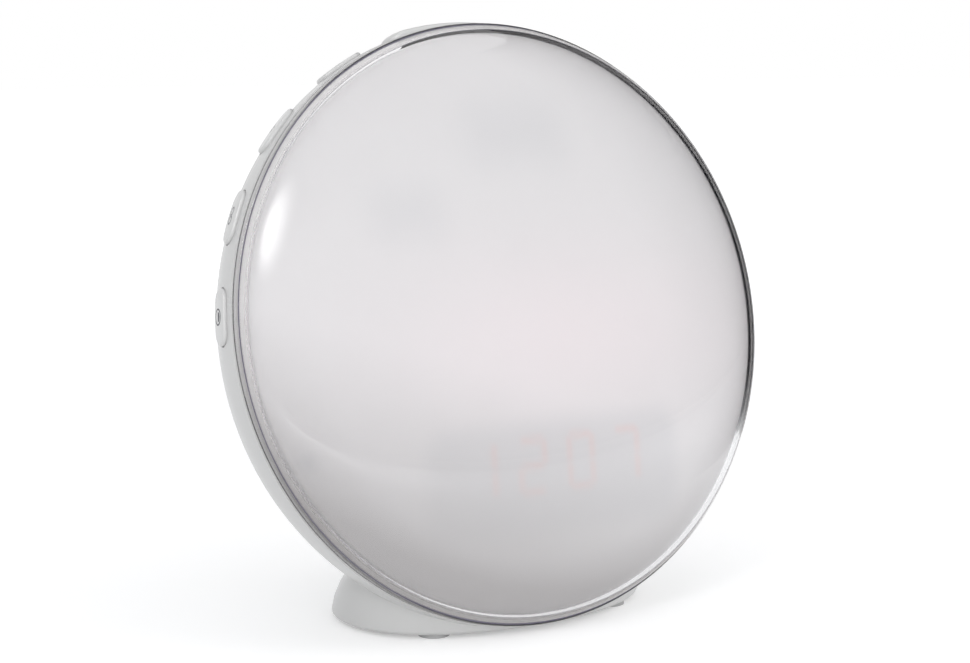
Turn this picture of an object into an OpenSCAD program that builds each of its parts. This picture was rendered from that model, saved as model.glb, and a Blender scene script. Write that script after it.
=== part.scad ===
// Sunrise alarm clock: a round glowing head that leans back on a moulded foot.
// Millimetres. +Z is up, the face looks towards -Y, and the table is Z = 0.
//
// The head is drawn flat in a frame of its own: X to the viewer's right, Y up
// the face and Z out of the face, with Z = 0 at the front of the clear rim.
// A "depth" is a distance behind that front, so it is -Z there. A "clock"
// angle runs clockwise round the face from the top, as on a dial.

/* [Stance] */
// Backward lean of the head, in degrees
lean = 12.7; // [10:0.1:15]
// Gap between the table and the lowest point of the rim
rim_clear = 2.1; // [1.9:0.1:4]
// How far the rim's centre stands in front of the foot's centre
head_forward = 15; // [13:0.1:17]

/* [Clear front cover] */
// Outer radius of the clear rim
rim_r = 86; // [83:0.5:90]
// Thickness of the clear rim, front to back
rim_t = 2.6; // [2.2:0.1:3]
// Step from the rim's edge in to the dome
rim_step = 0.8; // [0.5:0.1:1.6]
// Rise of the dome in front of the rim
dome_h = 17.5; // [15:0.5:24]
// Wall of the clear dome
cover_t = 2.2; // [1.6:0.1:2.8]
// Wall of the short skirt that plugs into the housing
skirt_t = 1.3; // [1:0.1:1.6]
// Reach of the skirt behind the rim
skirt_len = 1.8; // [1.2:0.1:2]
// Running length of each snap tab
tab_w = 16; // [10:1:22]
// How far a snap tab stands out of the skirt
tab_proud = 0.9; // [0.6:0.1:1.2]
// Clock angle of the first snap tab
tab_angle = 4; // [0:1:20]
// Number of snap tabs round the rim
tab_count = 3; // [2:1:6]

/* [Diffuser] */
// Air gap between the clear dome and the milky diffuser
diffuser_gap = 0.6; // [0.4:0.1:1.2]
// Wall of the diffuser
diffuser_t = 1.6; // [1.2:0.1:2]
// Reach of the diffuser's skirt behind the rim's front
diffuser_skirt = 3; // [2.4:0.1:3.2]

/* [Reflector tray] */
// Wall of the reflector tray
tray_t = 1.4; // [1:0.1:1.4]
// Distance from the rim's edge in to the mouth of the dish
dish_inset = 16; // [16:0.5:20]
// Distance from the rim's edge in to the floor of the dish
dish_floor_inset = 22; // [20:0.5:23]
// Depth of the floor of the dish
dish_depth = 10; // [9:0.5:12]
// Radius of the posts that take the housing screws
post_r = 3.6; // [3:0.1:4]

/* [Light board] */
// Distance from the rim's edge in to the edge of the light board
led_board_inset = 24.5; // [24:0.5:28]
// Thickness of every circuit board
board_t = 1.6; // [1:0.1:2]
// Distances from the rim's edge in to the two rings of white LEDs
white_ring_inset = [56, 32];
// Number of places on each ring of white LEDs
white_ring_n = [12, 24];
// Length, width and height of a white LED
white_led = [3.5, 2.8, 0.8];
// Distance from the rim's edge in to the ring of coloured LEDs
colour_ring_inset = 44; // [40:0.5:48]
// Number of places on the ring of coloured LEDs
colour_ring_n = 12; // [6:2:16]
// Side and height of a coloured LED
colour_led = [5, 1.4];

/* [Time display] */
// Distance from the rim's lowest point up to the display's centre
display_up = 45; // [43:0.5:46]
// Width and height of the display module
display_size = [66, 20];
// Thickness of the display module
display_t = 8; // [6:0.5:9]
// How far the display's face stands in front of the rim
display_rise = 6.5; // [4:0.5:7]
// Height of a digit
digit_h = 15.5; // [12:0.5:16]
// Width of a digit
digit_w = 9; // [6:0.5:10]
// Distance from one digit to the next
digit_pitch = 16; // [12:0.5:17]
// Width of a lit segment
segment_w = 1.3; // [1:0.1:1.6]
// Distance from the rim's lowest point up to the light baffle's centre
baffle_up = 41.5; // [40:0.5:43]
// Width and height of the light baffle round the display
baffle_size = [82, 31];
// Wall of the light baffle
baffle_t = 1.2; // [1:0.1:1.6]

/* [Rear housing] */
// Step of the housing outside the clear rim
housing_step = 0.4; // [0.1:0.1:1]
// Wall of the housing
shell_t = 2.4; // [2.2:0.1:2.6]
// Depth at which the straight side turns into the bowl
side_depth = 5; // [4.4:0.1:5.2]
// Depth of the bowl behind the straight side
bowl_depth = 42.5; // [40:0.5:48]
// Reach of the flat back beyond the top of the speaker
flat_reach = -0.1; // [-2.5:0.1:3.5]
// Distance from the rim's edge in to the circle of the housing screws
screw_circle_inset = 26; // [26:0.5:27]
// Angle from the vertical to each housing screw, in degrees
screw_angle = 50; // [49:0.5:51]

/* [Foot] */
// Width of the foot
foot_w = 97; // [90:1:110]
// Depth of the foot, front to back
foot_d = 63; // [60:1:72]
// Height at which the foot has merged into the bowl
foot_h = 24; // [22:1:26]
// Gap between the table and the underside of the foot
foot_gap = 1; // [0.8:0.1:1.2]
// Squareness of the foot's plan (2 is an ellipse)
foot_square = 2.2; // [2:0.1:2.6]
// How much each side of the foot draws in on its way up
foot_draw_side = 10; // [7:1:12]
// How much the back of the foot draws in on its way up
foot_draw_back = 17.5; // [16:0.5:19]
// Radius of the rounded bottom edge
foot_round = 1; // [0.6:0.1:1.2]
// Wall of the foot
foot_t = 2.4; // [2:0.1:3]
// Front edge of the hollow in the foot
hollow_y = -1; // [-2:0.5:4]
// Thickness of the base plate
plate_t = 2; // [1.6:0.1:2.4]
// Radius of each rubber foot
pad_r = 4.5; // [3.5:0.1:5.5]
// Recess that each rubber foot is glued into
pad_recess = 0.6; // [0.4:0.1:0.8]
// Places of the front rubber feet, to the side and back
pad_front = [30, -20];
// Places of the rear rubber feet, to the side and back
pad_rear = [27, 17];
// Grip of the base screws above the base plate
base_screw_grip = 6; // [5:0.5:6.5]

/* [Side buttons] */
// Clock angles of the buttons on each side, in degrees
button_angle = [29.3, 47.7, 66.1, 84.5];
// Length of a button round the side
button_l = 15.6; // [13:0.2:16]
// Width of a button, front to back
button_w = 8; // [6:0.2:8.2]
// Depth of a button's centre behind the rim's front
button_depth = 9.5; // [9.4:0.1:9.8]
// How far a button stands out of the housing
button_proud = 1; // [0.6:0.1:1.6]
// Travel of a button
button_travel = 0.5; // [0.3:0.1:0.8]
// Gap between a button and the edge of its slot
slot_gap = 0.25; // [0.2:0.05:0.4]
// Width of the hidden lip that keeps a button in
lip_w = 0.8; // [0.6:0.1:0.8]
// Thickness of that lip
lip_t = 1.6; // [1.2:0.1:2]
// Gap between the lip and the inside of the housing
lip_gap = 0.3; // [0.2:0.05:0.5]

/* [Snooze bar] */
// Length of the snooze bar
snooze_l = 50; // [40:1:54]
// Width of the snooze bar, front to back
snooze_w = 11; // [9:0.5:12]
// Depth of the snooze bar's centre
snooze_depth = 14; // [13.5:0.5:16]
// How far the snooze bar stands out of the housing
snooze_proud = 2.2; // [1.5:0.1:3]
// Travel of the snooze bar
snooze_travel = 0.8; // [0.5:0.1:1]
// Distance from the middle to each snooze switch
snooze_switch_x = 13; // [10:0.5:15]

/* [Switches] */
// Side of a tactile switch
switch_w = 6; // [5:0.1:6]
// Height of a tactile switch
switch_h = 3.5; // [3:0.1:4]
// Distance from the rim's edge in to the side switches' working face
switch_inset = 11; // [9.5:0.5:11]
// The same for the snooze switches
snooze_inset = 14; // [13:0.5:15]
// Radius of a switch plunger
plunger_r = 1.5; // [1.2:0.1:1.8]
// Part of the plunger that stands out of the switch
plunger_out = 1.8; // [1.4:0.1:2.2]
// Part of the plunger inside the switch
plunger_in = 1.2; // [1:0.1:1.5]
// Radius of the post under a button
stem_r = 1.7; // [1.5:0.1:2]
// Radial clearance of a sliding or turning fit
fit_gap = 0.07; // [0.03:0.01:0.1]
// Width of the curved board behind each row of buttons
side_board_w = 10; // [9:0.5:12]
// Clock angles at which the curved boards are screwed down
board_screw_angle = [38.5, 75.3];
// Clock angles at which each curved board starts and ends
side_board_angle = [22, 92];
// Distance from the middle to each screw of the snooze board
snooze_screw_x = 20.5; // [19.5:0.5:22]
// Reach of the snooze board below its screws
snooze_board_low = 4; // [3.5:0.1:5]

/* [Main board] */
// Gap between the main board and the screw posts at its sides
main_board_gap = 8.3; // [7:0.1:10]
// Height of the main board
main_board_h = 60; // [56:1:64]
// Height of the main board's centre on the face
main_board_y = 14; // [12:0.5:16]
// Gap between the tray and the main board
standoff = 3.6; // [3:0.1:4.5]
// Distance of the board's screws from its edges
board_margin = 4; // [3.5:0.1:5]
// Height of the capacitors
can_h = 5; // [4:0.5:7]

/* [Speaker] */
// Gap between the speaker and the battery well below it
speaker_gap = 1.6; // [1.1:0.1:2.4]
// Width of the speaker's square flange
speaker_w = 44; // [42:0.5:45]
// Reach of the speaker's rounded corners beyond its screws
speaker_corner = 1.75; // [0.75:0.05:2.25]
// Thickness of the speaker's flange
speaker_flange_t = 1.2; // [1:0.1:1.5]
// Distance of each speaker screw from the flange's edges
speaker_screw_in = 4.5; // [4:0.1:4.8]
// Distance from the screw bosses in to the cone's rolled surround
surround_in = 2.15; // [2:0.05:2.5]
// Width of that rolled surround
surround_w = 3; // [2.5:0.1:5]
// Length of the basket behind the flange
basket_len = 13.3; // [12:0.1:14.5]
// Radius of the magnet
magnet_r = 13; // [11:0.5:15]
// Thickness of the magnet
magnet_t = 7; // [6:0.5:8]
// Outer radius of the voice coil
coil_r = 7; // [6:0.1:8]
// Length of the voice coil
coil_len = 7; // [6:0.1:7.5]
// Part of the voice coil inside the magnet
coil_in = 3.5; // [3:0.1:4]
// Thickness of the foam gasket behind the grille
gasket_t = 1.1; // [0.8:0.1:1.4]
// Radius of one hole of the speaker grille
grille_hole_r = 1; // [0.7:0.1:1.2]
// Distance between the rings of grille holes
grille_pitch = 3.8; // [3.2:0.1:4]
// Number of rings of grille holes round the middle one
grille_rings = 4; // [2:1:4]

/* [Power socket] */
// Place of the power socket on the back, across and up the face
jack_at = [-28, -42];
// Radius of the recess round the socket
jack_recess_r = 6.5; // [6:0.1:7]
// Depth of that recess into the back
jack_recess = 3.9; // [3.5:0.1:4.5]
// Radius of the socket's barrel
jack_barrel_r = 4.1; // [3.9:0.1:4.4]
// Radius of the socket's mouth
jack_bore_r = 3.15; // [2.9:0.05:3.3]
// Depth of the socket's mouth
jack_bore_len = 9; // [8:0.5:10]
// Radius of the centre pin
jack_pin_r = 1.05; // [0.9:0.05:1.25]
// Place of the aerial's exit on the back, across and up the face
aerial_at = [28, -42];
// Radius of the aerial's exit
aerial_r = 1.2; // [1:0.1:1.6]

/* [Battery door] */
// Height of the battery door's centre on the face
door_y = -27; // [-27.5:0.5:-26.5]
// Width and height of the battery door
door_size = [34, 28];
// Gap between the door and the housing
door_gap = 0.3; // [0.25:0.05:0.4]
// Radius of the rounded hinge edge of the door
hinge_r = 1; // [0.9:0.05:1.1]
// Radius of each hinge pin
hinge_pin_r = 0.7; // [0.6:0.05:0.75]
// Length of each hinge pin
hinge_pin_len = 1.2; // [1:0.1:1.4]
// Wall of the battery well
well_t = 1.6; // [1.6:0.1:2]
// Depth of the battery well below the door
well_depth = 5.6; // [5.4:0.1:6.4]
// Width of the ledge that the door closes on
ledge_w = 1; // [0.8:0.1:1.4]
// Radius of the coin cell
cell_r = 10; // [9:0.5:10]
// Thickness of the coin cell
cell_t = 3.2; // [2.5:0.1:3.2]
// Thickness of the spring contact under the cell
contact_t = 0.8; // [0.5:0.1:1]
// Distance from the door's top edge to its screw
door_screw_in = 2.8; // [2.6:0.1:3.2]

/* [Screws] */
// Shank radius of the large screws
screw_r = 1.5; // [1.2:0.1:1.6]
// Head radius of the large screws
screw_head_r = 2.8; // [2.4:0.1:3]
// Head height of the large screws
screw_head_t = 2; // [1.6:0.1:2.2]
// Shank radius of the small screws
small_screw_r = 1; // [0.8:0.1:1.1]
// Head radius of the small screws
small_head_r = 2; // [1.7:0.1:2.1]
// Head height of the small screws
small_head_t = 1.3; // [1:0.1:1.4]
// Clearance of a screw in a through hole
screw_gap = 0.2; // [0.1:0.05:0.3]
// Wall of a screw boss round its screw
boss_wall = 1.6; // [1.4:0.1:1.8]

/* [Hidden] */
$fn = 72;

// A size far past the head, for cuts that run right through.
far = 2 * rim_r;
// Overlap that joins two solids of one moulding.
weld = 0.2;
// Gap between two pieces that lie close but don't press on each other.
part_gap = 0.3;
rim_z = rim_clear + rim_r * cos(lean);

// Radii that nest inside one another, from the outside in.
housing_r = rim_r + housing_step;
dome_r = rim_r - rim_step;
mouth_r = housing_r - shell_t;
skirt_r = mouth_r - part_gap;
plug_r = skirt_r - skirt_t;
diffuser_r = dome_r - cover_t - diffuser_gap;
diffuser_h = dome_h - cover_t - diffuser_gap;
glow_r = diffuser_r - diffuser_t;
glow_h = diffuser_h - diffuser_t;

dish_r = rim_r - dish_inset;
dish_floor_r = rim_r - dish_floor_inset;
led_board_r = rim_r - led_board_inset;
door_top = door_y + door_size[1] / 2;
speaker_y = door_top + door_gap + well_t + speaker_gap + speaker_w / 2;
flat_r = speaker_y + speaker_w / 2 + flat_reach;
white_ring_r = [for (inset = white_ring_inset) rim_r - inset];
colour_ring_r = rim_r - colour_ring_inset;
screw_circle_r = rim_r - screw_circle_inset;
switch_face_r = rim_r - switch_inset;
snooze_face_r = rim_r - snooze_inset;

// Places up the face that hang on the rim's lowest point.
display_y = display_up - rim_r;
baffle_y = baffle_up - rim_r;
main_board = [2 * (screw_circle_r * sin(screw_angle) - post_r - main_board_gap), main_board_h];

// Outer radius of the boss round a small screw.
small_boss_r = small_screw_r + boss_wall;

// Depths that stack up from the rim to the back.
tray_back = dish_depth + tray_t;
led_board_front = dish_depth - board_t;
main_board_front = tray_back + standoff;
main_board_back = main_board_front + board_t;
bowl_a = housing_r - flat_r;
back_depth = side_depth + bowl_depth;
wall_depth = back_depth - shell_t;
side_board_front = button_depth + switch_w / 2;
side_board_back = side_board_front + board_t;
snooze_board_front = snooze_depth + switch_w / 2;
snooze_board_back = snooze_board_front + board_t;
side_board_r = switch_face_r - switch_h / 2 - 1;
snooze_board_y = snooze_face_r - switch_h - 0.5;
speaker_back = wall_depth - gasket_t;
speaker_front = speaker_back - speaker_flange_t;
basket_end = speaker_front - basket_len;
speaker_screw = speaker_w / 2 - speaker_screw_in;
speaker_corner_r = speaker_screw * sqrt(2) + speaker_corner;
surround_r = speaker_screw * sqrt(2) - small_boss_r - surround_in;
cone_r = surround_r - surround_w;
coil_t = 0.6;
coil_gap = 0.45;
basket_t = 1;
plate_top = foot_gap + plate_t;

// The battery door and its well.
door_x = door_size[0] / 2;
hinge_y = door_y - door_size[1] / 2 + hinge_r;
door_inner = back_depth - shell_t;
hinge_depth = bowl_at(norm([door_x, hinge_y])) - hinge_r;
well_floor = door_inner - well_depth;
door_screw_y = door_top - door_screw_in;
door_boss_r = small_boss_r + 0.4;
cell_y = door_screw_y - door_boss_r - part_gap - cell_r;
// How far the door's face stands behind its hinge axis, and the opening's edges.
hinge_reach = bowl_at(abs(hinge_y)) - hinge_depth;
door_hole = [door_x + door_gap, hinge_y - hinge_reach - door_gap, door_top + door_gap];

// Depth of the bowl's outer face at a radius from the centre of the face.
function bowl_at(r) =
  r <= flat_r ? back_depth : side_depth + bowl_depth * sqrt(1 - pow((r - flat_r) / bowl_a, 2));

// Points along a quarter of an ellipse, from the rim (0) to the middle (90).
function quarter(rx, ry, steps) =
  [for (i = [0 : steps]) [rx * cos(90 * i / steps), ry * sin(90 * i / steps)]];

// Stands the head on its foot.
module head() {
  translate([0, -head_forward, rim_z]) rotate([90 - lean, 0, 0]) children();
}

// Moves a piece of the head back from the rim's front.
module back(depth) {
  translate([0, 0, -depth]) children();
}

// Turns a piece drawn at the top of the dial to a clock angle. Inside it, X
// runs clockwise round the side, Y runs back and Z points out of the side.
module at_side(clock, depth) {
  rotate([0, 0, -clock]) back(depth) rotate([-90, 0, 0]) children();
}

// A tube that stands on its end face, or a disc where the bore is 0.
module tube(r, bore, h) {
  difference() {
    cylinder(r = r, h = h);
    if (bore > 0) translate([0, 0, -1]) cylinder(r = bore, h = h + 2);
  }
}

// A plate with rounded ends, drawn flat and centred.
module stadium(l, w, h) {
  linear_extrude(height = h) union() {
    square([l - w, w], center = true);
    for (side = [-1, 1]) translate([side * (l - w) / 2, 0]) circle(d = w);
  }
}

// A flat ring sector between two radii and two clock angles.
module sector(r_in, r_out, clock_from, clock_to, h) {
  rotate([0, 0, 90 - clock_to]) rotate_extrude(angle = clock_to - clock_from)
    translate([r_in, 0]) square([r_out - r_in, h]);
}

// A pan-head screw with its head's seat at Z = 0 and its shank below.
module screw(shank_r, shank_len, head_r, head_t) {
  difference() {
    union() {
      translate([0, 0, -shank_len]) cylinder(r = shank_r, h = shank_len + weld);
      cylinder(r = head_r, h = head_t);
    }
    for (turn = [0, 90]) rotate([0, 0, turn])
      translate([-head_r * 0.6, -head_r * 0.12, head_t * 0.5]) cube([head_r * 1.2, head_r * 0.24, head_t]);
  }
}

// A solid half ellipsoid in front of the rim.
module dome(r, h, steps = 24) {
  rotate_extrude() polygon(concat([[0, 0]], quarter(r, h, steps)));
}

// The same as a shell, with its wall inside.
module dome_shell(r, h, t, steps = 24) {
  inner = quarter(r - t, h - t, steps);
  rotate_extrude() polygon(concat(quarter(r, h, steps), [for (i = [steps : -1 : 0]) inner[i]]));
}

// The space inside the housing's outer face, grown by a step, from a depth back.
module bowl(grow, from_depth, steps = 20) {
  arc = [for (p = quarter(bowl_a + grow, bowl_depth + grow, steps)) [flat_r + p[0], -side_depth - p[1]]];
  rotate_extrude() polygon(concat([[0, -from_depth], [housing_r + grow, -from_depth]], arc,
                                  [[0, -side_depth - bowl_depth - grow]]));
}

/* ---- front of the head ---- */

module front_cover() {
  color([0.93, 0.94, 0.96, 0.45]) head() {
    dome_shell(dome_r, dome_h, cover_t);
    back(rim_t) tube(rim_r, plug_r, rim_t);
    back(rim_t + skirt_len) tube(skirt_r, plug_r, skirt_len + weld);
    for (i = [0 : tab_count - 1]) snap_tab(tab_angle + 360 / tab_count * i, 0);
  }
}

// A tab on the skirt, or with a gap the pocket that it snaps into.
module snap_tab(clock, gap) {
  intersection() {
    back(rim_t + skirt_len + gap) tube(skirt_r + tab_proud + gap, skirt_r - weld, skirt_len / 2 + 2 * gap);
    rotate([0, 0, -clock]) translate([-tab_w / 2 - gap, 0, -far / 2]) cube([tab_w + 2 * gap, far, far]);
  }
}

module diffuser() {
  color([0.93, 0.92, 0.92]) head() {
    dome_shell(diffuser_r, diffuser_h, diffuser_t);
    back(diffuser_skirt) tube(plug_r - 0.2, glow_r, diffuser_skirt);
  }
}

module reflector_tray() {
  wall = [
    [dish_r, -diffuser_skirt], [plug_r - 0.2, -diffuser_skirt],
    [plug_r - 0.2, -diffuser_skirt - tray_t], [dish_r + tray_t, -diffuser_skirt - tray_t],
    [dish_floor_r + tray_t, -tray_back], [0, -tray_back], [0, -dish_depth], [dish_floor_r, -dish_depth]
  ];
  color([0.95, 0.95, 0.94]) head() difference() {
    union() {
      rotate_extrude() polygon(wall);
      for (at = housing_screw_at()) translate([at[0], at[1], -boss_face()])
        cylinder(r = post_r, h = boss_face() - tray_back + weld);
      for (at = board_screw_at()) translate([at[0], at[1], -main_board_front])
        cylinder(r = small_boss_r, h = standoff + weld);
    }
    for (at = housing_screw_at()) translate([at[0], at[1], -boss_face() - 1])
      cylinder(r = screw_r, h = housing_screw_grip() + 2);
    for (at = board_screw_at()) translate([at[0], at[1], -main_board_front - 1])
      cylinder(r = small_screw_r, h = standoff - 0.4 + 1);
  }
}

module led_board() {
  color([0.92, 0.93, 0.92]) head() back(dish_depth) cylinder(r = led_board_r, h = board_t);
}

// True where a light at this place would fall on the baffle.
function on_baffle(x, y) =
  abs(x) < baffle_size[0] / 2 + colour_led[0] && abs(y - baffle_y) < baffle_size[1] / 2 + colour_led[0];

module white_leds() {
  color([0.98, 0.93, 0.7]) head() back(led_board_front)
    for (ring = [0 : len(white_ring_r) - 1], i = [0 : white_ring_n[ring] - 1]) {
      turn = 360 * i / white_ring_n[ring];
      if (!on_baffle(white_ring_r[ring] * sin(turn), white_ring_r[ring] * cos(turn)))
        rotate([0, 0, -turn]) translate([-white_led[0] / 2, white_ring_r[ring] - white_led[1] / 2, 0])
          cube(white_led);
    }
}

module colour_leds() {
  color([0.9, 0.9, 0.92]) head() back(led_board_front)
    for (i = [0 : colour_ring_n - 1]) {
      turn = 360 * (i + 0.5) / colour_ring_n;
      if (!on_baffle(colour_ring_r * sin(turn), colour_ring_r * cos(turn)))
        rotate([0, 0, -turn]) translate([-colour_led[0] / 2, colour_ring_r - colour_led[0] / 2, 0])
          cube([colour_led[0], colour_led[0], colour_led[1]]);
    }
}

/* ---- time display ---- */

module display_baffle() {
  outer = [baffle_size[0], baffle_size[1]];
  color([0.25, 0.25, 0.27]) head() intersection() {
    translate([0, baffle_y, -led_board_front]) linear_extrude(height = far) difference() {
      square(outer, center = true);
      square([outer[0] - 2 * baffle_t, outer[1] - 2 * baffle_t], center = true);
    }
    union() {
      dome(glow_r - part_gap, glow_h - part_gap);
      rotate_extrude() polygon([
        [0, weld], [dish_r - part_gap, weld], [dish_r - part_gap, -diffuser_skirt],
        [dish_floor_r - part_gap, -dish_depth], [0, -dish_depth]
      ]);
    }
  }
}

module display_module() {
  color([0.12, 0.12, 0.13]) head()
    translate([-display_size[0] / 2, display_y - display_size[1] / 2, display_rise - display_t])
      cube([display_size[0], display_size[1], display_t]);
}

// One digit as its seven segments, switched by a list of ones and noughts:
// top, upper right, lower right, bottom, lower left, upper left, middle.
module digit(lit) {
  half = digit_h / 2 - segment_w / 2;
  side = digit_w / 2 - segment_w / 2;
  across = digit_w - 2 * segment_w - 0.4;
  along = half - segment_w - 0.4;
  for (row = [[0, half], [3, -half], [6, 0]])
    if (lit[row[0]] == 1) translate([0, row[1]]) square([across, segment_w], center = true);
  for (col = [[1, side, 1], [2, side, -1], [4, -side, -1], [5, -side, 1]])
    if (lit[col[0]] == 1) translate([col[1], col[2] * half / 2]) square([segment_w, along], center = true);
}

module display_digits() {
  one = [0, 1, 1, 0, 0, 0, 0];
  two = [1, 1, 0, 1, 1, 0, 1];
  nought = [1, 1, 1, 1, 1, 1, 0];
  seven = [1, 1, 1, 0, 0, 0, 0];
  shown = [one, two, nought, seven];
  color([0.95, 0.35, 0.3]) head() translate([0, display_y, display_rise]) linear_extrude(height = 0.4) {
    for (i = [0 : 3]) translate([(i - 1.5) * digit_pitch, 0]) digit(shown[i]);
    for (y = [-1, 1]) translate([0, y * digit_h / 6]) square(segment_w, center = true);
  }
}

module display_pins() {
  pin_w = 0.6;
  count = 12;
  color([0.8, 0.8, 0.75]) head()
    for (i = [0 : count - 1], row = [-1, 1])
      translate([(i - (count - 1) / 2) * display_size[0] / (count + 1) - pin_w / 2,
                 display_y + row * (display_size[1] / 2 - 2) - pin_w / 2, -led_board_front])
        cube([pin_w, pin_w, led_board_front + display_rise - display_t]);
}

/* ---- main board ---- */

// Places of the screws of the main board.
function board_screw_at() = [for (x = [-1, 1], y = [-1, 1])
  [x * (main_board[0] / 2 - board_margin), main_board_y + y * (main_board[1] / 2 - board_margin)]];

module main_board_panel() {
  color([0.12, 0.38, 0.22]) head() difference() {
    translate([-main_board[0] / 2, main_board_y - main_board[1] / 2, -main_board_back])
      cube([main_board[0], main_board[1], board_t]);
    for (at = board_screw_at()) translate([at[0], at[1], -main_board_back - 1])
      cylinder(r = small_screw_r + screw_gap, h = board_t + 2);
  }
}

// The chips lie on the rear face of the main board: place, length, width, height.
module board_chips() {
  chips = [[-13, 2, 11, 11, 1.4], [13, 2, 9, 7, 1.2], [0, -18, 7, 6, 1.2], [18, -18, 5, 4, 1]];
  color([0.1, 0.1, 0.11]) head()
    for (c = chips) translate([c[0] - c[2] / 2, main_board_y + c[1] - c[3] / 2, -main_board_back - c[4]])
      cube([c[2], c[3], c[4]]);
}

module board_capacitors() {
  cans = [[-20, 22, 3], [-11, 22, 3], [20, 22, 3.3], [11, 23, 2.5]];
  color([0.2, 0.22, 0.3]) head()
    for (c = cans) translate([c[0], main_board_y + c[1], -main_board_back - can_h])
      cylinder(r = c[2], h = can_h);
}

module board_screws() {
  color([0.7, 0.7, 0.72]) head()
    for (at = board_screw_at()) translate([at[0], at[1], -main_board_back]) mirror([0, 0, 1])
      screw(small_screw_r, board_t + standoff - 1, small_head_r, small_head_t);
}

/* ---- rear housing and foot ---- */

// Places of the four housing screws.
function housing_screw_at() = [for (x = [-1, 1], y = [-1, 1])
  [x * screw_circle_r * sin(screw_angle), y * screw_circle_r * cos(screw_angle)]];
// Depth of the seat of a housing screw's head, and of the inner face of its boss.
function screw_seat() = bowl_at(screw_circle_r) - 3.6;
function boss_face() = screw_seat() - 5;
function housing_screw_grip() = 8;
// Places of the screws of the curved button boards and of the snooze board.
function side_screw_at() = [for (side = [-1, 1], c = board_screw_angle)
  [side * side_board_r * sin(c), side_board_r * cos(c)]];
function snooze_screw_at() = [for (side = [-1, 1]) [side * snooze_screw_x, snooze_board_y]];
function speaker_screw_at() = [for (x = [-1, 1], y = [-1, 1])
  [x * speaker_screw, speaker_y + y * speaker_screw]];
// Places of the three screws of the base plate.
function base_screw_at() = [[-34, 7], [34, 7], [0, 21]];
function pads_at() = [for (at = [pad_front, pad_rear], side = [-1, 1]) [side * at[0], at[1]]];

// Half-width, back edge and front edge of the foot at a height, drawn in by a wall.
function foot_half_w(z, inset) = foot_w / 2 - foot_draw_side * pow(z / foot_h, 2.6) - inset;
function foot_back(z, inset) = foot_d / 2 - foot_draw_back * pow(z / foot_h, 1.5) - inset;
function foot_front(z, inset) = -foot_d / 2 + inset;

// Outline of the foot at a height: an ellipse squared off a little.
function foot_ring(z, inset, count) =
  let (half_w = foot_half_w(z, inset), y_back = foot_back(z, inset), y_front = foot_front(z, inset))
  [for (i = [0 : count - 1])
    let (turn = 360 * i / count, c = cos(turn), s = sin(turn), power = 2 / foot_square)
    [half_w * sign(c) * pow(abs(c), power),
     (y_back + y_front) / 2 + (y_back - y_front) / 2 * sign(s) * pow(abs(s), power), z]];

// A solid that passes through the foot's outlines at the given heights and insets.
module foot_loft(levels, count) {
  rings = [for (l = levels) foot_ring(l[0], l[1], count)];
  last = (len(levels) - 1) * count;
  sides = [for (k = [0 : len(levels) - 2], i = [0 : count - 1])
    let (a = k * count + i, b = k * count + (i + 1) % count)
    each [[a, a + count, b], [b, a + count, b + count]]];
  caps = [[for (i = [0 : count - 1]) i], [for (i = [count - 1 : -1 : 0]) last + i]];
  polyhedron(points = [for (ring = rings, p = ring) p], faces = concat(sides, caps), convexity = 4);
}

module foot_outer() {
  levels = concat([[foot_gap, foot_round], [foot_gap + foot_round * 0.4, foot_round * 0.3]],
                  [for (i = [0 : 5]) [foot_gap + foot_round + (foot_h - foot_gap - foot_round) * i / 5, 0]]);
  intersection() {
    foot_loft(levels, 48);
    head() translate([-far, -far, -far - rim_t]) cube([2 * far, 2 * far, far]);
  }
}

// The hollow of the foot: open below, behind a straight edge, round the bosses
// that hold the base plate.
module foot_hollow() {
  rise = foot_h - 2 - plate_top;
  difference() {
    intersection() {
      foot_loft(concat([[0, foot_t]], [for (i = [0 : 3]) [plate_top + rise * i / 3, foot_t]]), 40);
      translate([-far / 2, hollow_y, -1]) cube([far, far, far]);
    }
    head() bowl(0, 0);
    for (at = base_screw_at()) translate([at[0], at[1], plate_top])
      cylinder(r = small_boss_r + 0.6, h = foot_h);
  }
}

// Bosses inside the bowl, as plain cylinders: place, radius and depth of the inner face.
module bowl_bosses() {
  intersection() {
    union() {
      for (at = housing_screw_at()) boss(at, screw_head_r + screw_gap + boss_wall, boss_face());
      for (at = side_screw_at()) boss(at, small_boss_r, side_board_back);
      for (at = snooze_screw_at()) boss(at, small_boss_r, snooze_board_back);
      for (at = speaker_screw_at()) boss(at, small_boss_r, speaker_back);
      boss(jack_at, jack_recess_r + boss_wall, jack_seat() - boss_wall);
      boss(aerial_at, aerial_r + boss_wall, bowl_at(norm(aerial_at)) - shell_t - 2);
      battery_well();
    }
    bowl(-shell_t / 2, 0);
  }
}

module boss(at, r, face) {
  translate([at[0], at[1], -back_depth]) cylinder(r = r, h = back_depth - face);
}

// Depth of the floor of the recess round the power socket.
function jack_seat() = bowl_at(norm(jack_at)) - jack_recess;

// Walls and floor of the battery well, and the boss for the door's screw.
module battery_well() {
  half_x = door_hole[0] + well_t;
  translate([-half_x, door_hole[1] - well_t, -back_depth])
    cube([2 * half_x, door_hole[2] - door_hole[1] + 2 * well_t, back_depth - well_floor + well_t]);
}

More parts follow.
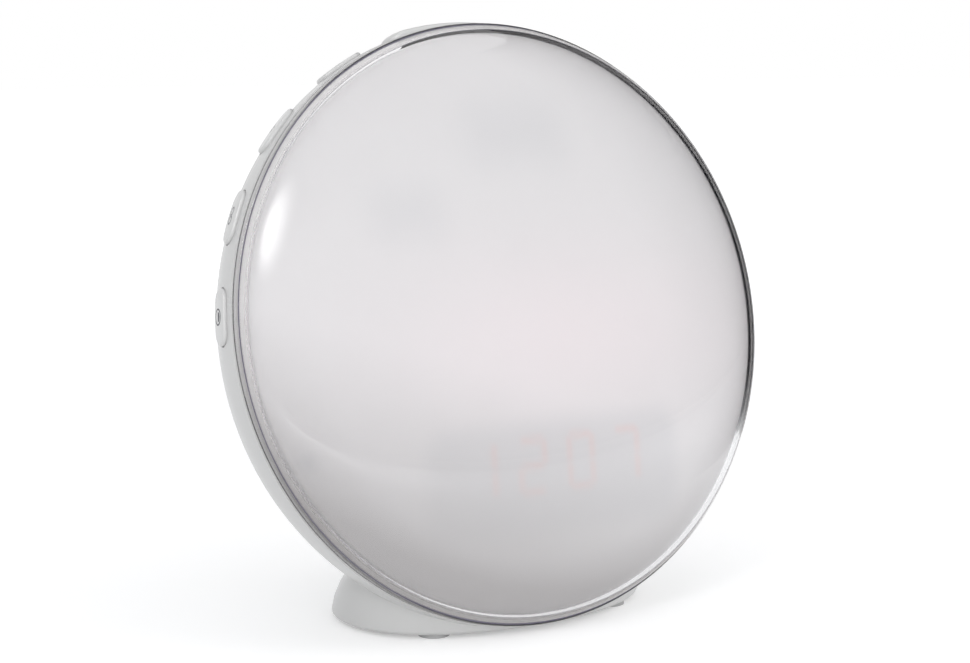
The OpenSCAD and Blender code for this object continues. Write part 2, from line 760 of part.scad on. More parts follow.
// The space that is cut for the door, the ledge that it closes on and the cell,
// round the boss for the door's screw.
module battery_space() {
  high = door_hole[2] - door_hole[1];
  hinge_top = hinge_y + hinge_r + door_gap;
  difference() {
    union() {
      translate([-door_hole[0], door_hole[1], -far])
        cube([2 * door_hole[0], high, far - door_inner + door_gap]);
      translate([-door_hole[0] + ledge_w, door_hole[1], -door_inner - weld])
        cube([2 * (door_hole[0] - ledge_w), high - ledge_w, well_depth + weld]);
      translate([-door_hole[0], door_hole[1], -far])
        cube([2 * door_hole[0], hinge_top - door_hole[1], far - hinge_depth + hinge_r + door_gap]);
    }
    translate([0, door_screw_y, -door_inner + door_gap]) cylinder(r = door_boss_r, h = well_depth);
  }
}

// The head's bowl, the foot below it, and the cuts that cross both.
module rear_housing() {
  color([0.94, 0.94, 0.93]) difference() {
    union() {
      housing_bowl();
      housing_foot();
    }
    translate([-far, -far, -far]) cube([2 * far, 2 * far, far + foot_gap]);
    for (at = base_screw_at()) translate([at[0], at[1], foot_gap])
      cylinder(r = small_screw_r, h = plate_t + 7);
    for (at = pads_at()) translate([at[0], at[1], foot_gap - 1]) cylinder(r = pad_r, h = 1 + pad_recess);
  }
}

module housing_foot() {
  difference() {
    foot_outer();
    foot_hollow();
    head() bowl(-shell_t / 2, 0);
  }
}

module housing_bowl() {
  head() difference() {
    union() {
      difference() {
        bowl(0, rim_t);
        bowl(-shell_t, 0);
      }
      bowl_bosses();
    }
    battery_space();
    housing_cuts();
  }
}

module housing_cuts() {
  for (side = [-1, 1], c = button_angle) at_side(side * c, button_depth)
    translate([0, 0, mouth_r - 6]) stadium(button_l + 2 * slot_gap, button_w + 2 * slot_gap, 12);
  at_side(0, snooze_depth)
    translate([0, 0, mouth_r - 9]) stadium(snooze_l + 2 * slot_gap, snooze_w + 2 * slot_gap, 16);
  for (i = [0 : tab_count - 1]) snap_tab(tab_angle + 360 / tab_count * i, 0.2);
  for (at = housing_screw_at()) translate([at[0], at[1], -far]) {
    cylinder(r = screw_head_r + screw_gap, h = far - screw_seat());
    cylinder(r = screw_r + screw_gap, h = far - boss_face() + 1);
  }
  for (at = side_screw_at()) pilot(at, side_board_back);
  for (at = snooze_screw_at()) pilot(at, snooze_board_back);
  for (at = speaker_screw_at()) translate([at[0], at[1], -speaker_back - 2.4])
    cylinder(r = small_screw_r, h = 3.4);
  translate([0, speaker_y, 0]) grille();
  translate([jack_at[0], jack_at[1], -far]) {
    cylinder(r = jack_recess_r, h = far - jack_seat());
    cylinder(r = jack_barrel_r + screw_gap, h = far - jack_seat() + 4);
  }
  translate([aerial_at[0], aerial_at[1], -far]) cylinder(r = aerial_r, h = far);
  translate([0, door_screw_y, -door_inner - weld]) cylinder(r = small_screw_r + 0.4, h = well_depth);
  translate([0, hinge_y, -hinge_depth]) rotate([0, 90, 0])
    cylinder(r = hinge_pin_r + fit_gap, h = 2 * (door_x + hinge_pin_len + door_gap), center = true);
}

// A blind hole for a small screw, from a board's rear face back into its boss.
module pilot(at, face) {
  translate([at[0], at[1], -face - 7]) cylinder(r = small_screw_r, h = 8);
}

// Round holes through the flat back, on rings that get six more each time.
module grille() {
  back(back_depth + 1) {
    cylinder(r = grille_hole_r, h = shell_t + 2);
    for (ring = [1 : grille_rings], i = [0 : 6 * ring - 1]) rotate([0, 0, 60 * i / ring])
      translate([grille_pitch * ring, 0, 0]) cylinder(r = grille_hole_r, h = shell_t + 2);
  }
}

module base_plate() {
  color([0.9, 0.9, 0.89]) difference() {
    intersection() {
      translate([0, 0, foot_gap]) linear_extrude(height = plate_t)
        polygon([for (p = foot_ring(plate_top, foot_t + part_gap, 40)) [p[0], p[1]]]);
      translate([-far / 2, hollow_y + part_gap, 0]) cube([far, far, far]);
    }
    for (at = base_screw_at()) translate([at[0], at[1], foot_gap - 1]) {
      cylinder(r = small_screw_r + screw_gap, h = plate_t + 2);
      cylinder(r = small_head_r + screw_gap, h = 1 + small_head_t);
    }
    for (at = pads_at()) translate([at[0], at[1], foot_gap - 1]) cylinder(r = pad_r, h = 1 + pad_recess);
  }
}

module rubber_feet() {
  color([0.3, 0.3, 0.32])
    for (at = pads_at()) translate([at[0], at[1], 0]) cylinder(r = pad_r, h = foot_gap + pad_recess);
}

module base_screws() {
  color([0.7, 0.7, 0.72]) for (at = base_screw_at())
    translate([at[0], at[1], foot_gap + small_head_t]) mirror([0, 0, 1])
      screw(small_screw_r, plate_t - small_head_t + base_screw_grip, small_head_r, small_head_t);
}

module housing_screws() {
  color([0.7, 0.7, 0.72]) head() for (at = housing_screw_at())
    translate([at[0], at[1], -screw_seat()]) mirror([0, 0, 1])
      screw(screw_r, screw_seat() - boss_face() + housing_screw_grip(), screw_head_r, screw_head_t);
}

/* ---- buttons and switches ---- */

// A right-angle tactile switch below its working face, with the plunger's hole.
module switch_body(face) {
  difference() {
    translate([-switch_w / 2, -switch_w / 2, face - switch_h]) cube([switch_w, switch_w, switch_h]);
    translate([0, 0, face - plunger_in - snooze_travel - 0.2])
      cylinder(r = plunger_r + fit_gap, h = plunger_in + snooze_travel + 1);
  }
}

module switch_plunger(face) {
  translate([0, 0, face - plunger_in]) cylinder(r = plunger_r, h = plunger_in + plunger_out);
}

// A button or bar cut to the curve of the housing, with its hidden lip, and
// its posts down to the plungers at the given places along it.
module cap(clock, depth, l, w, proud, face, posts) {
  tip = face + plunger_out;
  difference() {
    union() {
      intersection() {
        at_side(clock, depth) translate([0, 0, tip]) stadium(l, w, far);
        bowl(proud, 0);
      }
      intersection() {
        at_side(clock, depth) translate([0, 0, tip - 1]) stadium(l + 2 * lip_w, w + 2 * lip_w, far);
        bowl(-shell_t - lip_gap, 0);
      }
    }
    bowl(-shell_t - lip_gap - lip_t, 0);
  }
  at_side(clock, depth) for (x = posts) translate([x, 0, tip])
    cylinder(r = stem_r, h = cap_underside(depth, x) - tip + weld);
}

// Height of the hollow underside of a cap above the face's centre, along its post.
function cap_underside(depth, x) =
  let (drop = shell_t + lip_gap + lip_t, reach = max(0, depth - side_depth),
       r = flat_r + (bowl_a - drop) * sqrt(1 - pow(reach / (bowl_depth - drop), 2)))
  sqrt(r * r - x * x);

module side_button(side, i) {
  color([0.95, 0.95, 0.95]) head()
    cap(side * button_angle[i], button_depth, button_l, button_w, button_proud, switch_face_r, [0]);
}

module side_plunger(side, i) {
  color([0.15, 0.15, 0.16]) head()
    at_side(side * button_angle[i], button_depth) switch_plunger(switch_face_r);
}

module left_button_1() { side_button(-1, 3); }
module left_button_2() { side_button(-1, 2); }
module left_button_3() { side_button(-1, 1); }
module left_button_4() { side_button(-1, 0); }
module right_button_1() { side_button(1, 3); }
module right_button_2() { side_button(1, 2); }
module right_button_3() { side_button(1, 1); }
module right_button_4() { side_button(1, 0); }
module left_plunger_1() { side_plunger(-1, 3); }
module left_plunger_2() { side_plunger(-1, 2); }
module left_plunger_3() { side_plunger(-1, 1); }
module left_plunger_4() { side_plunger(-1, 0); }
module right_plunger_1() { side_plunger(1, 3); }
module right_plunger_2() { side_plunger(1, 2); }
module right_plunger_3() { side_plunger(1, 1); }
module right_plunger_4() { side_plunger(1, 0); }

module side_switches(side) {
  color([0.2, 0.2, 0.22]) head()
    for (c = button_angle) at_side(side * c, button_depth) switch_body(switch_face_r);
}

module left_switches() { side_switches(-1); }
module right_switches() { side_switches(1); }

module side_board(side) {
  from = side > 0 ? side_board_angle[0] : -side_board_angle[1];
  to = side > 0 ? side_board_angle[1] : -side_board_angle[0];
  color([0.12, 0.38, 0.22]) head() difference() {
    back(side_board_back)
      sector(side_board_r - side_board_w / 2, side_board_r + side_board_w / 2, from, to, board_t);
    for (at = side_screw_at()) translate([at[0], at[1], -side_board_back - 1])
      cylinder(r = small_screw_r + screw_gap, h = board_t + 2);
  }
}

module left_button_board() { side_board(-1); }
module right_button_board() { side_board(1); }

module snooze_board() {
  half = snooze_screw_x + small_head_r + 1;
  color([0.12, 0.38, 0.22]) head() difference() {
    translate([-half, snooze_board_y - snooze_board_low, -snooze_board_back])
      cube([2 * half, snooze_face_r - snooze_board_y + snooze_board_low, board_t]);
    for (at = snooze_screw_at()) translate([at[0], at[1], -snooze_board_back - 1])
      cylinder(r = small_screw_r + screw_gap, h = board_t + 2);
  }
}

module button_board_screws() {
  color([0.7, 0.7, 0.72]) head() {
    for (at = side_screw_at()) translate([at[0], at[1], -side_board_front])
      screw(small_screw_r, board_t + 5, small_head_r, small_head_t);
    for (at = snooze_screw_at()) translate([at[0], at[1], -snooze_board_front])
      screw(small_screw_r, board_t + 5, small_head_r, small_head_t);
  }
}

module snooze_bar() {
  color([0.95, 0.95, 0.95]) head()
    cap(0, snooze_depth, snooze_l, snooze_w, snooze_proud, snooze_face_r,
        [-snooze_switch_x, snooze_switch_x]);
}

module snooze_plungers() {
  color([0.15, 0.15, 0.16]) head() for (side = [-1, 1])
    at_side(0, snooze_depth) translate([side * snooze_switch_x, 0, 0]) switch_plunger(snooze_face_r);
}

module snooze_switches() {
  color([0.2, 0.2, 0.22]) head() for (side = [-1, 1])
    at_side(0, snooze_depth) translate([side * snooze_switch_x, 0, 0]) switch_body(snooze_face_r);
}

/* ---- speaker ---- */

// Draws a piece of the speaker round the speaker's own axis.
module at_speaker() {
  head() translate([0, speaker_y, 0]) children();
}

module speaker_frame() {
  neck_r = coil_r + coil_gap;
  seat_r = neck_r + 5;
  color([0.25, 0.25, 0.27]) at_speaker() difference() {
    union() {
      back(speaker_back) linear_extrude(height = speaker_flange_t) intersection() {
        square(speaker_w, center = true);
        circle(r = speaker_corner_r);
      }
      rotate_extrude() polygon([
        [surround_r + basket_t, -speaker_front], [surround_r, -speaker_front],
        [seat_r - basket_t, -basket_end - basket_t], [neck_r, -basket_end - basket_t],
        [neck_r, -basket_end], [seat_r, -basket_end]
      ]);
    }
    back(speaker_back + 1) cylinder(r = surround_r - 0.5, h = speaker_flange_t + 1.01);
    for (x = [-1, 1], y = [-1, 1]) translate([x * speaker_screw, y * speaker_screw, -speaker_back - 1])
      cylinder(r = small_screw_r + screw_gap, h = speaker_flange_t + 2);
  }
}

module speaker_magnet() {
  color([0.35, 0.35, 0.37]) at_speaker() back(basket_end) difference() {
    cylinder(r = magnet_r, h = magnet_t);
    translate([0, 0, -1]) tube(coil_r + coil_gap, coil_r - coil_t - coil_gap, magnet_t - 1);
  }
}

module voice_coil() {
  color([0.72, 0.42, 0.22]) at_speaker() back(basket_end + coil_in)
    tube(coil_r, coil_r - coil_t, coil_len);
}

module speaker_cone() {
  paper = 0.6;
  neck = basket_end + 3.5;
  mouth = speaker_front + 0.3;
  color([0.16, 0.16, 0.17]) at_speaker() rotate_extrude() polygon([
    [coil_r, -neck], [coil_r, -neck + paper], [cone_r, -mouth + paper], [cone_r, -mouth],
    [coil_r + paper, -neck - paper], [coil_r - coil_t, -neck - paper - 0.6],
    [coil_r / 2, -neck - paper - 1.9],
    [0, -neck - paper - 2.3], [0, -neck - 1.7], [coil_r / 2, -neck - 1.3], [coil_r - coil_t - 0.6, -neck]
  ]);
}

// Half a roll of thin rubber between the cone and the frame.
module speaker_surround() {
  inner = cone_r + fit_gap;
  roll_r = (surround_r - 0.5 - inner) / 2;
  color([0.1, 0.1, 0.1]) at_speaker() back(speaker_front + 0.3) rotate_extrude()
    translate([inner + roll_r, 0]) intersection() {
      difference() {
        circle(r = roll_r);
        circle(r = roll_r - 0.4);
      }
      translate([-roll_r, -roll_r]) square([2 * roll_r, roll_r]);
    }
}

module speaker_gasket() {
  color([0.2, 0.2, 0.2]) at_speaker() back(wall_depth)
    tube(surround_r + surround_in - 0.55, surround_r, gasket_t);
}

module speaker_screws() {
  color([0.7, 0.7, 0.72]) head() for (at = speaker_screw_at())
    translate([at[0], at[1], -speaker_front])
      screw(small_screw_r, speaker_flange_t + 2, small_head_r, small_head_t);
}

/* ---- power socket and battery ---- */

module dc_jack() {
  body_w = 9;
  body_len = 10;
  face = jack_seat() + 0.6;
  color([0.1, 0.1, 0.1]) head() translate([jack_at[0], jack_at[1], 0]) difference() {
    union() {
      back(face) cylinder(r = jack_barrel_r, h = face - jack_seat() + boss_wall + 1);
      translate([-body_w / 2, -body_w / 2, -jack_seat() + boss_wall]) cube([body_w, body_w, body_len]);
    }
    back(face + 1) cylinder(r = jack_bore_r, h = jack_bore_len + 1);
  }
}

module dc_jack_pin() {
  color([0.8, 0.8, 0.78]) head() translate([jack_at[0], jack_at[1], -jack_seat() - 0.2])
    cylinder(r = jack_pin_r, h = jack_bore_len - 0.4);
}

// The door lies flush in the back. Its lower edge is round and turns on two short pins.
module battery_door() {
  color([0.93, 0.93, 0.92]) head() difference() {
    union() {
      intersection() {
        union() {
          translate([-door_x, hinge_y, -far]) cube([2 * door_x, door_top - hinge_y, far - door_inner]);
          translate([0, hinge_y, -hinge_depth]) rotate([0, 90, 0])
            cylinder(r = hinge_r, h = 2 * door_x, center = true);
        }
        bowl(-0.02, 0);
      }
      translate([0, hinge_y, -hinge_depth]) rotate([0, 90, 0])
        cylinder(r = hinge_pin_r, h = 2 * (door_x + hinge_pin_len), center = true);
      translate([-4, cell_y - 4, -door_inner - weld])
        cube([8, 8, well_depth - contact_t - cell_t - 0.3 + weld]);
    }
    translate([0, door_screw_y, -far]) cylinder(r = small_screw_r + 0.05, h = far);
    translate([0, door_screw_y, -far])
      cylinder(r = small_head_r + screw_gap, h = far - back_depth + small_head_t);
  }
}

module door_screw() {
  color([0.7, 0.7, 0.72]) head() translate([0, door_screw_y, -back_depth + small_head_t])
    mirror([0, 0, 1]) screw(small_screw_r, 4, small_head_r, small_head_t - 0.1);
}

module coin_cell() {
  rim = 0.5;
  color([0.78, 0.78, 0.8]) head() translate([0, cell_y, -well_floor - contact_t - cell_t]) {
    cylinder(r = cell_r, h = cell_t - rim);
    cylinder(r = cell_r - 1.2, h = cell_t);
  }
}

module battery_contacts() {
  color([0.8, 0.75, 0.55]) head() {
    translate([0, cell_y, -well_floor - contact_t]) cylinder(r = cell_r / 2, h = contact_t);
    translate([cell_r, cell_y - 3, -well_floor - contact_t - cell_t]) cube([0.4, 6, contact_t + cell_t]);
  }
}

front_cover();
diffuser();
display_baffle();
display_module();
display_digits();
display_pins();
reflector_tray();
led_board();
white_leds();
colour_leds();
main_board_panel();
board_chips();
board_capacitors();
board_screws();
rear_housing();
base_plate();
rubber_feet();
base_screws();
housing_screws();
left_button_board();
right_button_board();
snooze_board();
button_board_screws();
left_switches();
right_switches();
snooze_switches();
left_button_1();
left_button_2();
left_button_3();
left_button_4();
right_button_1();
right_button_2();
right_button_3();
right_button_4();
left_plunger_1();
left_plunger_2();
left_plunger_3();
left_plunger_4();
right_plunger_1();
right_plunger_2();
right_plunger_3();
right_plunger_4();
snooze_bar();
snooze_plungers();
speaker_frame();
speaker_magnet();
speaker_cone();
voice_coil();
speaker_surround();
speaker_gasket();
speaker_screws();
dc_jack();
dc_jack_pin();
battery_door();
door_screw();
coin_cell();
battery_contacts();
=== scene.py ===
import math

import bmesh
import bpy
import numpy as np
from mathutils import Matrix, Vector


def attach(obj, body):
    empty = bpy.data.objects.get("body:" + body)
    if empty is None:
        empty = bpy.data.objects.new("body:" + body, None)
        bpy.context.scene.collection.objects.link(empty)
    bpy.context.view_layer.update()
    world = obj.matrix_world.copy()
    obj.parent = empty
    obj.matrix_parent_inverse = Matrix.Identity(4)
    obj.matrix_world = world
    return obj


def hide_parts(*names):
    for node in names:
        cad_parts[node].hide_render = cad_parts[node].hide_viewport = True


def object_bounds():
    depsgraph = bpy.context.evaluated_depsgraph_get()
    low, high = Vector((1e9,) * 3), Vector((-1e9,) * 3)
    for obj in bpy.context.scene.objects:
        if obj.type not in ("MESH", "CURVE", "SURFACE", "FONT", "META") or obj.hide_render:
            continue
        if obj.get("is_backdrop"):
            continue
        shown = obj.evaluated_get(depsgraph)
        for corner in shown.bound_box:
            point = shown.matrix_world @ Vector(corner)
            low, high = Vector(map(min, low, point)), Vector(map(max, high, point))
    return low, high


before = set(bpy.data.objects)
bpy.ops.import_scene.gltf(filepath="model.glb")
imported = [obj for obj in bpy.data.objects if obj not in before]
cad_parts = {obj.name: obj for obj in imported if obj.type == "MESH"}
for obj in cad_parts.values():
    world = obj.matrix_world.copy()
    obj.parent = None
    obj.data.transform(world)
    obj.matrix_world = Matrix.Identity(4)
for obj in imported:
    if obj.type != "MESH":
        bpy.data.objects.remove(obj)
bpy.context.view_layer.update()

# ---------------------------------------------------------------------------
# The view. A 74 mm lens stands a little to the left of the clock and a little
# above it, 564 mm from the middle of the face.
# ---------------------------------------------------------------------------
FOCAL_PIXELS, FRAME_PIXELS, SENSOR = 2000, 970, 36
LOOKS_AT = Vector((-0.01001, -0.0150, 0.0837))
CLOCK_MIDDLE = Vector((0, 0, 0.085))


def put(name, data):
    """A new object in the scene, at the origin."""
    thing = bpy.data.objects.new(name, data)
    bpy.context.scene.collection.objects.link(thing)
    return thing


def facing(thing, side, up, distance, middle=CLOCK_MIDDLE):
    """Stands a thing at two angles in degrees round a middle, and turns it to face that."""
    a, e = math.radians(side), math.radians(up)
    towards = Vector((math.sin(a) * math.cos(e), -math.cos(a) * math.cos(e), math.sin(e)))
    thing.location = middle + towards * distance
    thing.rotation_mode = "QUATERNION"
    thing.rotation_quaternion = (-towards).to_track_quat("-Z", "Y")


lens = bpy.data.cameras.new("camera")
lens.lens, lens.sensor_width, lens.clip_start = FOCAL_PIXELS / FRAME_PIXELS * SENSOR, SENSOR, 0.01
camera = put("camera", lens)
facing(camera, -31.76, 8.30, 0.5638, LOOKS_AT)
bpy.context.scene.camera = camera
bpy.context.scene.view_settings.view_transform = "Standard"

# ---------------------------------------------------------------------------
# The sweep. A sheet of white paper carries the clock's soft shadow and runs
# back without a line into a white surround.
# ---------------------------------------------------------------------------


def add(tree, kind, inputs=None, **settings):
    """A node with its settings. Each input takes a value, a socket, a node or a list of sockets."""
    made = tree.nodes.new(kind)
    for key, value in settings.items():
        setattr(made, key, value)
    for key, value in (inputs or {}).items():
        for source in value if isinstance(value, list) else [value]:
            if isinstance(source, bpy.types.Node):
                source = source.outputs[0]
            if isinstance(source, bpy.types.NodeSocket):
                tree.links.new(source, made.inputs[key])
            else:
                made.inputs[key].default_value = source
    return made


def sum_of(tree, operation, *terms):
    """A Math node, each term a number or a socket."""
    return add(tree, "ShaderNodeMath", dict(enumerate(terms)), operation=operation).outputs[0]


def shader(name):
    """An empty material and its node tree."""
    made = bpy.data.materials.new(name)
    made.use_nodes = True
    made.node_tree.nodes.clear()
    return made, made.node_tree


def seen_ray(tree):
    """1 on rays that show the surround: straight, mirrored or through the clear cover."""
    ray = add(tree, "ShaderNodeLightPath").outputs
    first = sum_of(tree, "MAXIMUM", ray["Is Camera Ray"], ray["Is Glossy Ray"])
    return sum_of(tree, "MAXIMUM", first, ray["Is Transmission Ray"])


def radial(tree, near, far, at_near, at_far):
    """A value that turns smoothly from one to another with the distance from the object's origin."""
    place = add(tree, "ShaderNodeTexCoord").outputs["Object"]
    away = add(tree, "ShaderNodeVectorMath", {0: place}, operation="LENGTH").outputs["Value"]
    return add(tree, "ShaderNodeMapRange", {"Value": away, "From Min": near, "From Max": far,
                                            "To Min": at_near, "To Max": at_far},
               interpolation_type="SMOOTHSTEP").outputs["Result"]


def card_of(name, corners, faces, material):
    """A sheet or card of the studio, which isn't part of the clock."""
    mesh = bpy.data.meshes.new(name)
    mesh.from_pydata(corners, [], faces)
    mesh.materials.append(material)
    thing = put(name, mesh)
    thing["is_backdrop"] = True
    return thing


SQUARE = ((-1, -1), (1, -1), (1, 1), (-1, 1))
paper, tree = shader("white_paper")
lit = add(tree, "ShaderNodeBsdfDiffuse", {"Color": (0.86, 0.86, 0.86, 1)})
lift = add(tree, "ShaderNodeEmission",
           {"Strength": sum_of(tree, "MULTIPLY", seen_ray(tree), radial(tree, 0.25, 0.9, 0.33, 0.52))})
both = add(tree, "ShaderNodeAddShader", {0: lit, 1: lift})
add(tree, "ShaderNodeOutputMaterial", {"Surface": both})
card_of("paper", [(6 * x, 6 * y, 0) for x, y in SQUARE], [(0, 1, 2, 3)], paper)

surround = bpy.data.worlds.new("surround")
surround.use_nodes = True
tree = surround.node_tree
tree.nodes.clear()
ambient = add(tree, "ShaderNodeBackground", {"Color": (0.97, 0.98, 1.0, 1), "Strength": 0.64})
white = add(tree, "ShaderNodeBackground", {"Color": (1, 1, 1, 1), "Strength": 1.0})
pick = add(tree, "ShaderNodeMixShader", {0: seen_ray(tree), 1: ambient, 2: white})
add(tree, "ShaderNodeOutputWorld", {"Surface": pick})
bpy.context.scene.world = surround

# ---------------------------------------------------------------------------
# The lamps. Four softboxes, left, right, overhead and low in front, that leave no
# glint. The glow card is only seen mirrored, as the highlight at the dome's left.
# ---------------------------------------------------------------------------
for name, side, up, distance, size, watts, tint in (
    ("softbox_left", -62, 36, 1.3, (0.30, 0.9), 2.4, (1, 1, 1)),
    ("softbox_right", 50, 32, 1.6, (1.2, 0.9), 4.8, (1.0, 0.985, 0.97)),
    ("softbox_top", -30, 78, 1.4, (1.2, 1.0), 1.8, (1, 1, 1)),
    ("softbox_low", -12, 5, 1.3, (1.4, 0.25), 5.2, (1, 1, 1)),
):
    lamp = bpy.data.lights.new(name, "AREA")
    lamp.shape = "RECTANGLE"
    lamp.size, lamp.size_y = size
    lamp.energy, lamp.color = watts, tint
    holder = put(name, lamp)
    facing(holder, side, up, distance)
    holder.visible_glossy = holder.visible_transmission = False


def faded(tree, share, solid):
    """Ends a card's material: clear where the share is 0, and solid where it is 1."""
    clear = add(tree, "ShaderNodeBsdfTransparent")
    blend = add(tree, "ShaderNodeMixShader", {0: share, 1: clear, 2: solid})
    add(tree, "ShaderNodeOutputMaterial", {"Surface": blend})


GLOW_POWER = 10.0
glow_card, tree = shader("glow_card")
share = radial(tree, 0.12, 1.0, 1.0, 0.0)
faded(tree, share, add(tree, "ShaderNodeEmission", {"Strength": sum_of(tree, "MULTIPLY", share, GLOW_POWER)}))
card = card_of("glow_card", [(x, y, 0) for x, y in SQUARE], [(0, 1, 2, 3)], glow_card)
facing(card, -44, 38, 1.3)
card.scale = (0.62, 0.42, 1)
card.visible_camera = card.visible_diffuse = card.visible_transmission = card.visible_shadow = False

# ---------------------------------------------------------------------------
# The dark card. It bends round the back right, out of sight, and only the clear
# cover's edge bends the view towards it, which draws that edge as a dark line.
# ---------------------------------------------------------------------------
CARD_R, BENDS, FADE_END, FADE_WIDTH = 0.24, 20, math.radians(128), math.radians(30)
CARD_ROWS = ((0.001, 0.45), (0.015, 0.85), (0.04, 1.0), (0.5, 1.0))  # height, darkness


def mark(thing, name, values):
    """Stores one number for each vertex, for the material to read."""
    store = thing.data.attributes.new(name, "FLOAT", "POINT")
    store.data.foreach_set("value", np.asarray(values, np.float32))


def marked(tree, name):
    """The number that mark stored."""
    return add(tree, "ShaderNodeAttribute", attribute_name=name).outputs["Fac"]


card_black, tree = shader("card_black")
faded(tree, marked(tree, "fade"), add(tree, "ShaderNodeBsdfDiffuse", {"Color": (0.003, 0.003, 0.004, 1)}))
bends, row = [math.radians(15 + 115 * i / BENDS) for i in range(BENDS + 1)], BENDS + 1
card = card_of("dark_card", [(math.sin(b) * CARD_R, math.cos(b) * CARD_R, z) for z, _ in CARD_ROWS for b in bends],
               [(r * row + i, r * row + i + 1, (r + 1) * row + i + 1, (r + 1) * row + i)
                for r in range(len(CARD_ROWS) - 1) for i in range(BENDS)], card_black)
mark(card, "fade", [dark * min(1.0, max(0.0, (FADE_END - b) / FADE_WIDTH)) for _, dark in CARD_ROWS for b in bends])
card.visible_camera = card.visible_diffuse = card.visible_shadow = False

# ---------------------------------------------------------------------------
# Rear housing. One deep white moulding, a bowl that flows into the foot, with
# slots for the buttons and bosses for its screws. Gloss polystyrene.
# ---------------------------------------------------------------------------
LEAN = math.radians(12.7)
HEAD_FORWARD, RIM_Z = 15.0, 2.1 + 86 * math.cos(LEAN)
HEAD = Matrix.Translation((0, -HEAD_FORWARD, RIM_Z)) @ Matrix.Rotation(math.pi / 2 - LEAN, 4, "X")
SKIN = {"Colour": "Color", "Roughness": "Float", "Normal": "Vector"}


def group_of(name, inputs, outputs, kind="ShaderNodeTree"):
    """A node group and its inputs. A value gives an input's kind, or a word names it."""
    group = bpy.data.node_groups.new(name, kind)
    for label, value in inputs.items():
        named = isinstance(value, str)
        word = value if named else {tuple: "Color", float: "Float", int: "Int"}[type(value)]
        made = group.interface.new_socket(label, in_out="INPUT", socket_type="NodeSocket" + word)
        if not named:
            made.default_value = value
    for label, word in outputs.items():
        group.interface.new_socket(label, in_out="OUTPUT", socket_type="NodeSocket" + word)
    return group, group.nodes.new("NodeGroupInput").outputs


def moulded_group():
    """Node group: the fine spark texture, cloudy shade and dulled patches of moulded plastic."""
    group, into = group_of("moulded_skin", {
        "Colour": (0.8, 0.8, 0.8, 1), "Cloud": 0.03, "Roughness": 0.3, "Dulling": 0.08,
        "Grain Scale": 2500.0, "Grain Height": 0.02}, SKIN)
    place = add(group, "ShaderNodeTexCoord").outputs["Object"]
    cloud = add(group, "ShaderNodeTexNoise", {"Vector": place, "Scale": 24, "Detail": 3})
    grain = add(group, "ShaderNodeTexNoise", {"Vector": place, "Scale": into["Grain Scale"], "Detail": 2})
    # The noise, spread to run from -1 to 1.
    off = sum_of(group, "MULTIPLY_ADD", cloud.outputs["Fac"], 2, -1)
    shade = sum_of(group, "MULTIPLY_ADD", off, into["Cloud"], 1)
    add(group, "NodeGroupOutput", {
        "Colour": add(group, "ShaderNodeVectorMath", {0: into["Colour"], "Scale": shade}, operation="SCALE"),
        "Roughness": sum_of(group, "MULTIPLY_ADD", off, into["Dulling"], into["Roughness"]),
        "Normal": add(group, "ShaderNodeBump", {"Strength": into["Grain Height"], "Distance": 0.0001,
                                                "Height": grain.outputs["Fac"]})})
    return group


MOULDED = moulded_group()


def finished(name, group, values, own=None):
    """A material that takes what its group puts out, and the rest from its own sockets."""
    made, tree = shader(name)
    skin = add(tree, "ShaderNodeGroup", values, node_tree=group)
    body = add(tree, "ShaderNodeBsdfPrincipled", own)
    for given, taken in (("Colour", "Base Color"), ("Roughness", "Roughness"), ("Normal", "Normal")):
        if given in skin.outputs:
            tree.links.new(skin.outputs[given], body.inputs[taken])
    add(tree, "ShaderNodeOutputMaterial", {"Surface": body})
    return made


def moulded(name, colour, rough=0.3, cloud=0.03, grain=2500.0, height=0.25, coat=0.0):
    """A plastic or rubber that takes its surface from the moulded_skin group."""
    return finished(name, MOULDED, {
        "Colour": (*colour, 1), "Cloud": cloud, "Roughness": rough, "Dulling": 0.08, "Grain Scale": grain,
        "Grain Height": height}, {"Coat Weight": coat, "Coat Roughness": 0.08})


def placed(name, work, material, sharp=None, mesh=None):
    """A piece from finished mesh work, smooth apart from edges past the sharp angle, if there is one."""
    if sharp is not None:
        for face in work.faces:
            face.smooth = True
        for edge in work.edges:
            edge.smooth = len(edge.link_faces) == 2 and edge.calc_face_angle(0) < math.radians(sharp)
    mesh = mesh or bpy.data.meshes.new(name)
    work.to_mesh(mesh)
    work.free()
    mesh.materials.clear()
    mesh.materials.append(material)
    return put(name, mesh)


def fit(thing, body, node=None):
    """Lets a piece ride with a body and stand for a CAD node, if one is named."""
    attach(thing, body)
    if node:
        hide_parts(node)


def skin_of(node, body, material):
    """A copy of a CAD node with its loose triangles joined, so that its curves shade smoothly."""
    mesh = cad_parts[node].data.copy()
    mesh.name = node + "_skin"
    work = bmesh.new()
    work.from_mesh(mesh)
    bmesh.ops.remove_doubles(work, verts=work.verts, dist=2e-6)
    thing = placed(mesh.name, work, material, 26.0, mesh)
    if "custom_normal" in mesh.attributes:
        mesh.attributes.remove(mesh.attributes["custom_normal"])
    fit(thing, body, node)


housing_white = moulded("housing_white", (0.61, 0.61, 0.605), rough=0.32, height=0.12, coat=0.25)
skin_of("rear_housing", "head", housing_white)

# ---------------------------------------------------------------------------
# Clear front cover. A dome and a square-edged rim in one piece of clear
# acrylic, with a skirt and snap tabs that plug into the housing.
# ---------------------------------------------------------------------------
RIM_R, RIM_T, DOME_R, DOME_H, COVER_T = 86.0, 2.6, 85.2, 17.5, 2.2
PLUG_R, SKIRT_R, SKIRT_END, FROST_R = 82.4, 83.7, 4.4, 84.9
FACETS = 480  # round the face


def arc(cx, cy, r, start, stop, steps):
    """Points on a circle between two angles in degrees."""
    turns = [math.radians(start + (stop - start) * i / steps) for i in range(steps + 1)]
    return [(cx + r * math.cos(t), cy + r * math.sin(t)) for t in turns]


